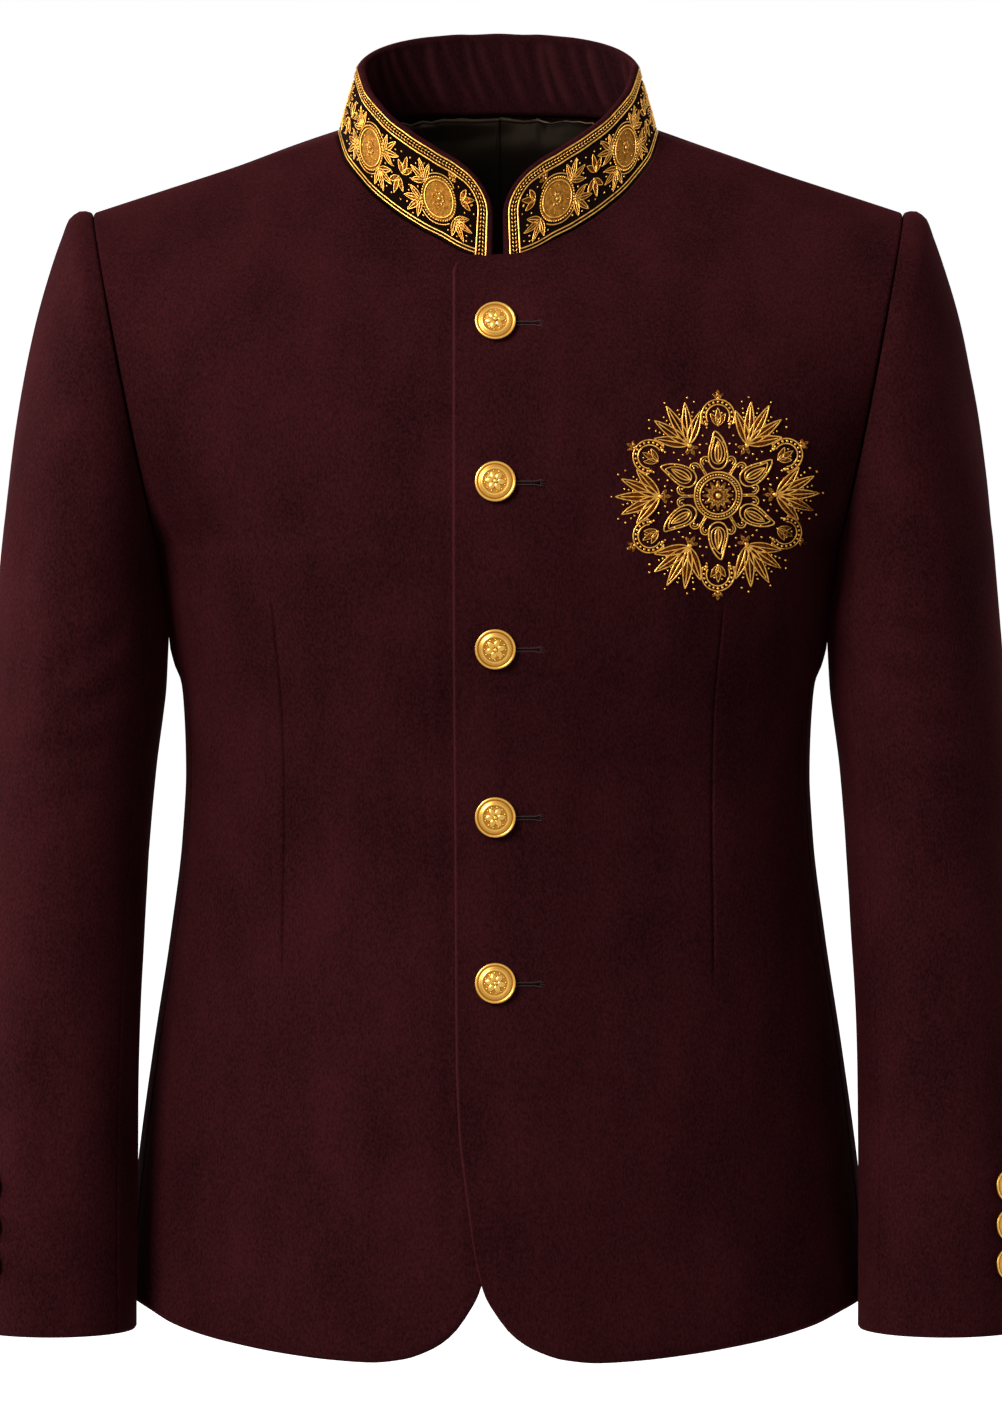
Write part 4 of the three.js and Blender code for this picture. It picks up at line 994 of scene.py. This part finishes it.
# the rim's border: a plain cord, two twisted rows and a plain cord
rim = Work([(0.55, False, raised(edge_line(inset), 0.5)) for inset in (3.1, 8.3)])
for inset, slant in ((4.85, 18), (6.55, -18)):
    stitches(rim, edge_line(inset), 2.2, (2.4, 0.95, 1.15), slant, 0.45)
piece_of("rim_braid", lay(rim, collar_surface), [WIRE], "collar_braid_rim")

# the base's border: two plain cords close together
base_runs = np.arange(8.6, WHOLE_COLLAR - 8.4, 1.3)
base = Work([(0.5, False, raised(np.column_stack([base_runs, 0 * base_runs + high]), 0.42)) for high in (1.7, 3.6)])
piece_of("base_braid", lay(base, collar_surface), [WIRE], "collar_braid_base")

# rosettes: a wire-wound disc with a twisted edge, an eight-petalled flower and a beaded eye
PETALS, DOME = 8, 0.55
first_half = [DISC_FIRST + (HALF_COLLAR - DISC_FIRST) * i / DISC_GAPS for i in range(DISC_GAPS)]
ROSETTES = [*first_half, HALF_COLLAR, *(WHOLE_COLLAR - run for run in reversed(first_half))]
for number, run in enumerate(ROSETTES, 1):
    spot = np.array((run, DISC_HIGH))
    work = Work([(0.42, True, raised(ring_line(spot, DISC_RADIUS - 2.3), 0.75))])
    for v in bmesh.ops.create_uvsphere(work.room(), u_segments=32, v_segments=12, radius=1)["verts"]:
        for face in v.link_faces:
            face.material_index = 1
        v.co = (*(spot + np.array(v.co.xy) * (DISC_RADIUS - 0.6)), v.co.z * (DOME if v.co.z > 0 else 0.25))
    stitches(work, ring_line(spot, DISC_RADIUS - 0.55), 1.5, (1.8, 1.2, 1.3), 30, 0.55, closed=True)
    for i in range(PETALS):
        turn = 360 * i / PETALS + 90
        leaf(work, spot + ahead(turn, 0.8), turn, DISC_RADIUS * 0.4, DISC_RADIUS * 0.19, DOME + 0.55)
        bead(work, spot + ahead(turn + 180 / PETALS, DISC_RADIUS * 0.62), DOME * 0.8, 0.5, 0.55)
    bead(work, spot, DOME + 0.3, 1.2, 0.8)
    piece_of(f"collar_rosette_{number}", lay(work, collar_surface), [WIRE, PURL], f"collar_disc_{number}")

# sprays, curls and dots between the rosettes
between, veins = Work([
    (0.4, False, raised(ring_line((run, DISC_HIGH), DISC_RADIUS + 1.2, start, start + 84), 0.4))
    for run in ROSETTES for start in (48, 228)
]), []
rng = np.random.default_rng(SEED)
for run, side in [(run, side) for run in ROSETTES for side in (-1, 1)][1:-1]:
    for up in (-1, 1):
        spray(between, (run + side * (DISC_RADIUS - 0.8), DISC_HIGH + up * 5.2),
              90 - 90 * side + side * up * 34 + rng.uniform(-4, 4), 11.6, 3.7, 4, 116, veins=veins)
        bead(between, (run + side * 17.6, DISC_HIGH + up * 13.2), 0.5, 0.7, 0.6)
        bead(between, (run + side * 7.4, DISC_HIGH + up * 12.4), 0.5, 0.75, 0.62)
    bead(between, (run + side * 14.4, DISC_HIGH), 0.5, 0.8, 0.7)
for middle in [(a + b) / 2 for a, b in zip(ROSETTES, ROSETTES[1:])]:
    for up in (-1, 1):
        spray(between, (middle + 1.2 * up, DISC_HIGH + 1.6 * up), 90 * up + rng.uniform(-6, 6), 9.4, 3.4, 3, 92,
              beads=0, veins=veins)
        for side in (-1, 1):
            bead(between, (middle + 3.4 * side, DISC_HIGH + 11.8 * up), 0.5, 0.68, 0.6)
            bead(between, (middle + 6.4 * side, DISC_HIGH + 1.8 * up), 0.5, 0.6, 0.56)
for end, hand in ((0, 1), (WHOLE_COLLAR, -1)):
    for x, y, turn, long, wide, count, spread, open_veins in (
        (22.0, 14.2, 215, 11.6, 3.7, 4, 118, veins), (19.6, 26.0, 158, 9.0, 3.6, 3, 96, veins),
        (29.0, 33.2, 122, 6.0, 2.7, 3, 104, None),
    ):
        spray(between, (end + hand * x, y), turn if hand > 0 else 180 - turn, long, wide, count, spread,
              veins=open_veins)
    for x, y in ((10.9, 7.0), (14.0, 5.9), (10.9, 21.8), (12.2, 26.4), (22.4, 31.8), (25.6, 6.6), (16.6, 20.2)):
        bead(between, (end + hand * x, y), 0.5, 0.68, 0.6)
between.done.append(thread_mesh(veins))
piece_of("collar_sprays", lay(between, collar_surface), [WIRE], None)

# ---- the collar's rolled edge in its own cloth, and the velvet ground inside it ----
roll = Work([(1.95, False, raised(edge_line(1.55, 2.2), -1.75))], sides=3)
piece_of("collar_rolled_edge", lay(roll, collar_surface), [WOOL], None)
for face in outer.data.polygons:
    row, column = np.divmod(np.array(face.vertices), len(collar_columns))
    along = collar_columns[column].mean() * WHOLE_COLLAR
    high = collar_top(along) * row.mean() / (OUTER_ROWS - 1)
    inside = ROLL < along < WHOLE_COLLAR - ROLL and 1.0 < high < collar_top(along) - ROLL
    face.material_index = 1 if inside else 0

# ---- the chest rosette: six buds and six sprays round a flower, closed by six beaded crescents ----
CRESCENT, BUDS = 44.6, range(90, 450, 60)
chest_lines = [(0.52, True, raised(ring_line((0, 0), radius), 0.45)) for radius in (10.4, 13.4)]
loop = np.linspace(0, 2 * math.pi, 36, endpoint=False)
for turn in BUDS:
    for grow, radius in ((1.0, 0.52), (0.72, 0.44)):
        # a bud's outline, round at its foot and drawn to a tip that leans over
        run = 25.6 - 10.6 * grow * np.cos(loop)
        aside = 5.0 * grow * np.sin(loop) * (1 + 0.45 * np.cos(loop)) + 1.7 * np.maximum(0, -np.cos(loop)) ** 3
        chest_lines.append((radius, True, raised(ahead(turn, run, aside), 0.45)))
    for radius in (9.4, 6.6):
        arc = ring_line(ahead(turn, CRESCENT), radius, turn - 118, turn + 118)
        chest_lines.append((0.5, False, raised(arc, 0.45)))
    for hand in (-1, 1):
        for inner, thick, end in ((0.0, 0.46, -70), (1.35, 0.38, 70)):
            # back to back curls that spring from the ring
            swing = np.radians(np.linspace(208, end, 24))
            coil = np.linspace(3.7, 3.7 - 2.5 * (208 - end) / 278, 24) - inner
            curl = ahead(turn + 30, 20.4 + coil * np.sin(swing), hand * (4.0 + coil * np.cos(swing)))
            chest_lines.append((thick, False, raised(curl, 0.42)))
        stem = ahead(turn + 30, np.linspace(13.9, 18.8, 4), np.full(4, 0.5 * hand))
        chest_lines.append((0.4, False, raised(stem, 0.4)))
chest, chest_veins = Work(chest_lines), []
for turn in range(0, 360, 30):
    leaf(chest, ahead(turn, 1.7), turn, 7.3, 3.0, 1.25)
    bead(chest, ahead(turn + 15, 8.7), 0.5, 0.6, 0.55)
bead(chest, (0, 0), 1.1, 2.0, 1.1)
stitches(chest, ring_line((0, 0), 11.9), 1.6, (1.8, 1.15, 1.15), 35, 0.45, closed=True)
for turn in BUDS:
    leaf(chest, ahead(turn, 18.6), turn, 12.0, 4.4, 1.4, chest_veins)
    spray(chest, ahead(turn, 39.6), turn, 9.6, 3.4, 3, 66, 1.2, veins=chest_veins)
    spray(chest, ahead(turn, 54.6), turn, 5.4, 2.4, 3, 96, beads=0)
    for side in (*np.linspace(-112, 112, 13), -124, 124):
        wide, high = (0.84, 0.7) if abs(side) < 120 else (1.25, 0.9)
        bead(chest, ahead(turn, CRESCENT) + ahead(turn + side, 8.0), 0.6, wide, high)
    turn += 30
    spray(chest, ahead(turn, 33.4), turn, 24.6, 6.2, 5, 100, 1.5, beads=5, veins=chest_veins)
    spray(chest, ahead(turn, 31.8), turn + 180, 6.4, 2.6, 3, 110, beads=0)
    for away, proud, wide, high in ((32.6, 0.9, 1.7, 1.1), (60.2, 0.5, 0.7, 0.6), (16.4, 0.5, 0.7, 0.6)):
        bead(chest, ahead(turn, away), proud, wide, high)
    for away, side in ((20.4, 4.0), (26.2, 3.2), (24.0, 8.0), (28.6, 9.0), (30.0, 5.6), (33.6, 9.4), (36.4, 13.6),
                       (27.6, 12.4), (40.2, 12.4), (52.4, 14.6), (56.4, 12.4)):
        for hand in (-1, 1):
            bead(chest, ahead(turn, away, side * hand), 0.55, 0.76, 0.66)
chest.done.append(thread_mesh(chest_veins))
piece_of("chest_rosette", lay(chest, chest_surface), [WIRE], "chest_embroidery")

# ---- buttons ----
# share of the radius, share of the thickness
BUTTON_PROFILE = [
    (0.001, 0), (0.32, 0), (0.36, 0.12), (0.86, 0.16), (0.96, 0.24), (1.0, 0.36), (0.985, 0.47),
    (0.94, 0.53), (0.9, 0.52), (0.865, 0.43), (0.83, 0.43), (0.77, 0.51), (0.71, 0.57), (0.67, 0.66),
    (0.63, 0.67), (0.59, 0.62), (0.42, 0.7), (0.2, 0.77), (0.001, 0.79),
]
BUTTON_FACE = list(zip(*BUTTON_PROFILE[:8:-1]))
# how light the metal is painted at each share of the radius: painted shade, darkest in the grooves and hollows and
# lightest on the raised rim and rings
BUTTON_PAINTED_SHADE = (
    (0, 0.55, 0.59, 0.63, 0.68, 0.72, 0.8, 0.83, 0.865, 0.91, 0.97, 1.0),
    (0.3, 0.3, 0.15, 0.95, 0.9, 0.4, 0.7, 0.0, 0.05, 1.0, 0.85, 0.2),
)


def struck_button(name, node, radius, thick, point, normal, turn):
    """A domed brass button with a rolled rim and a struck flower, spun about its own middle."""
    work = Work()
    bm = work.bm

    def share(v):
        return math.hypot(v.co.x, v.co.y) / radius

    spots = [bm.verts.new((r * radius, 0, h * thick)) for r, h in BUTTON_PROFILE]
    edges = [bm.edges.new(pair) for pair in zip(spots, spots[1:])]
    bmesh.ops.spin(bm, geom=spots + edges, cent=(0, 0, 0), axis=(0, 0, 1), angle=2 * math.pi, steps=40,
                   use_merge=True)
    bmesh.ops.remove_doubles(bm, verts=bm.verts, dist=0.002 * radius)
    bmesh.ops.recalc_face_normals(bm, faces=bm.faces[:])
    # painted shade: the button's tone follows its relief, dark in the grooves and hollows, light on the raised rim
    # and rings
    for v in bm.verts:
        v[work.proud] = float(np.interp(share(v), *BUTTON_PAINTED_SHADE))
    work.put_by()
    petal = radius / BUTTON_RADIUS
    for turned in range(0, 360, 60):
        leaf(work, ahead(turned, 0.08 * radius), turned, radius * 0.46, radius * 0.34, 1.2 * petal)
    # painted shade: the petals are darker at their feet and lighter on top
    for v in work.bm.verts:
        v[work.proud] = 0.25 + 0.75 * float(soft(v.co.z / (0.75 * petal)))
        v.co.z += thick * float(np.interp(share(v), *BUTTON_FACE)) - 0.1
    work.put_by()
    for turned in range(15, 375, 30):
        bead(work, ahead(turned, 0.5 * radius), 0.68 * thick, 0.05 * radius, 0.05 * radius)
    bead(work, (0, 0), 0.93 * thick, 0.12 * radius, 0.09 * radius)
    # painted light: the beads take the lightest tone
    for v in work.bm.verts:
        v[work.proud] = 1.0
    bm = work.whole()
    facing = Vector((0, 0, 1)).rotation_difference(Vector(normal)).to_matrix()
    facing = facing @ Matrix.Rotation(math.radians(turn), 3, "Z")
    spot = (Vector(point) + Vector(normal) * SEAM) * MM
    bmesh.ops.transform(bm, verts=bm.verts, matrix=Matrix.Translation(spot) @ facing.to_4x4() @ Matrix.Scale(MM, 4))
    piece_of(name, bm, [GILT], node)


for number, (z, turn) in enumerate(zip(BUTTON_LEVELS, (9, -6, 14, 3, -11)), 1):
    point, normal = front_surface([BUTTON_X], [z])
    struck_button(f"gilt_button_{number}", f"button_{number}", BUTTON_RADIUS, BUTTON_THICK, point[0], normal[0], turn)
forearm_rings = np.linspace(9, 17, 400)
for number, z in enumerate(CUFF_LEVELS, 1):
    ring = np.interp([-z], -read(SLEEVE, forearm_rings)[1], forearm_rings)
    spot = np.array([CUFF_TURN]), ring
    for side, sign in (("left", 1), ("right", -1)):
        point, normal = sleeve(*spot)[0] * (sign, 1, 1), shape_at(sleeve, *spot, 0.01)[0][0] * (sign, 1, 1)
        struck_button(f"gilt_cuff_button_{side}_{number}", f"cuff_button_{side}_{number}", CUFF_RADIUS, CUFF_THICK,
                      point, normal, 7 * number)

# ---- buttonholes: a slit worked both sides in purl stitches, its far end spread in a ragged fork ----
slit_shadow_cords = []
for number, z in enumerate(BUTTON_LEVELS, 1):
    x, level = np.linspace(4, 24.2, 18), z - 0.6
    fork = 0.7 * soft((x - 20) / 4.2)
    hole = Work([(0.26, False, raised(np.column_stack([x, level + s * (0.78 + fork)]), 0.12)) for s in (-1, 1)])
    for s in (-1, 1):
        stitches(hole, np.column_stack([x, level + s * (0.98 + fork)]), 0.8, (0.6, 1.0, 0.5), 12 * s, 0.14)
    for turn, long in ((-34, 2.3), (-8, 3.0), (21, 2.6), (46, 1.7)):
        tail = ahead(turn, np.linspace(0, long, 4), np.zeros(4)) + (23.6, level + 0.02 * turn)
        stitches(hole, tail, 0.9, (1.1, 0.42, 0.4), 0, 0.12)
    # painted shadow: a near-black cord in the velvet ground's finish lies along each slit, where the cut would show
    # only shade
    slit_shadow_cords.append((0.42, False, raised(np.column_stack([x[:-1], 0 * x[:-1] + level]), -0.05)))
    piece_of(f"buttonhole_{number}", lay(hole, front_surface), [TWIST], None)
piece_of("buttonhole_slit_shadows", lay(Work(slit_shadow_cords), front_surface), [GROUND], None)

# ---- what each cloth was cut to, in metres and square metres, and what it hangs from ----
LEFT, RIGHT = "_on_wearers_left", "_on_wearers_right"
FRONTS = {LEFT: "over_front", RIGHT: "under_front"}
COLLAR_WORK = ["rim_braid", "base_braid", "collar_sprays", "collar_rolled_edge"]
COLLAR_WORK += [f"collar_rosette_{n}" for n in range(1, len(ROSETTES) + 1)]
BUTTONHOLES = ["buttonhole_slit_shadows"] + [f"buttonhole_{n}" for n in range(1, 6)]
CUTS = [
    ("over_front", 0.273, 0.793, 0.169, "hung", ["under_front", "back" + LEFT], ["chest_rosette", *BUTTONHOLES]),
    ("under_front", 0.259, 0.791, 0.166, "hung", ["back" + RIGHT], [f"gilt_button_{n}" for n in range(1, 6)]),
    ("back" + LEFT, 0.245, 0.812, 0.149, "hung", ["back" + RIGHT], []),
    ("back" + RIGHT, 0.245, 0.812, 0.149, "hung", ["back" + LEFT], []),
]
CUTS += [("side_body" + side, 0.091, 0.466, 0.026, "hung", [FRONTS[side], "back" + side], []) for side in FRONTS]
CUTS += [
    ("top_sleeve" + side, 0.302, 0.658, 0.12, "hung", [FRONTS[side], "back" + side],
     [f"gilt_cuff_button_{side[12:]}_{n}" for n in (1, 2, 3)])
    for side in FRONTS
]
CUTS += [("under_sleeve" + side, 0.229, 0.606, 0.074, "hung", ["top_sleeve" + side], []) for side in FRONTS]
CUTS += [
    ("collar_outer_cloth", 0.531, 0.049, 0.0215, "folded", ["over_front", "under_front"], COLLAR_WORK),
    ("collar_facing_cloth", 0.517, 0.049, 0.021, "folded", ["collar_outer_cloth"], []),
    ("satin_back_lining", 0.525, 0.287, 0.116, "hung", ["back" + LEFT, "back" + RIGHT], []),
]

# ---- camera, light and floor ----
scene = bpy.context.scene
scene.view_settings.view_transform = "Standard"
eye = bpy.data.cameras.new("eye")
eye.sensor_width, eye.lens, eye.clip_start, eye.clip_end = 36, 267.9, 0.1, 1000
camera = scene.camera = linked("eye", eye)
LOOK_DOWN, EYE_AWAY, EYE_X, EYE_Z = math.radians(4), 6.0, 0.0017, -0.3264
camera.location = (EYE_X, -EYE_AWAY * math.cos(LOOK_DOWN), EYE_Z + EYE_AWAY * math.sin(LOOK_DOWN))
camera.rotation_euler = (math.radians(90) - LOOK_DOWN, 0, 0)

# soft boxes, aimed at the jacket's middle: place, width and height in metres, and watts
for name, place, size, watts in (
    ("key", (-2.4, -2.6, 1.9), (1.6, 2.0), 197), ("left_edge", (-2.6, 0.6, 0.4), (0.8, 2.2), 60),
    ("right_edge", (2.6, 0.5, 0.3), (0.7, 2.2), 11),
):
    lamp = bpy.data.lights.new(name, "AREA")
    lamp.shape, lamp.size, lamp.size_y, lamp.energy = "RECTANGLE", *size, watts
    box = linked(name, lamp)
    box.location = place
    box.rotation_euler = (Vector((0, 0, -0.3)) - Vector(place)).to_track_quat("-Z", "Y").to_euler()

# the room's own light is dim, brighter in what metal mirrors, and white where the camera sees it
world = scene.world = bpy.data.worlds.new("studio")
world.use_nodes = True
tree = world.node_tree
sky = tree.nodes["Background"]
mirrored, seen = (add(tree, "LightPath", {}, ray) for ray in ("Is Glossy Ray", "Is Camera Ray"))
mirrored = add(tree, "MapRange", {"Value": mirrored, "To Min": 0.36, "To Max": 0.74})
fill(tree, sky.inputs["Strength"], add(tree, "Math", {0: mirrored, 1: seen}, operation="MAXIMUM"))
fill(tree, sky.inputs["Color"], "#ffffff")

bm = bmesh.new()
bmesh.ops.create_circle(bm, cap_ends=True, radius=60, segments=96)
bmesh.ops.translate(bm, verts=bm.verts, vec=(0, 0, -0.95))
floor = linked("floor", mesh_of("floor", bm))
paper = material("pale_paper", Base_Color="#f4f4f3", Roughness=0.9, Emission_Color="#ffffff",
                 Emission_Strength=0.66)[0]
floor.data.materials.append(paper)
floor.visible_diffuse = floor.visible_glossy = False
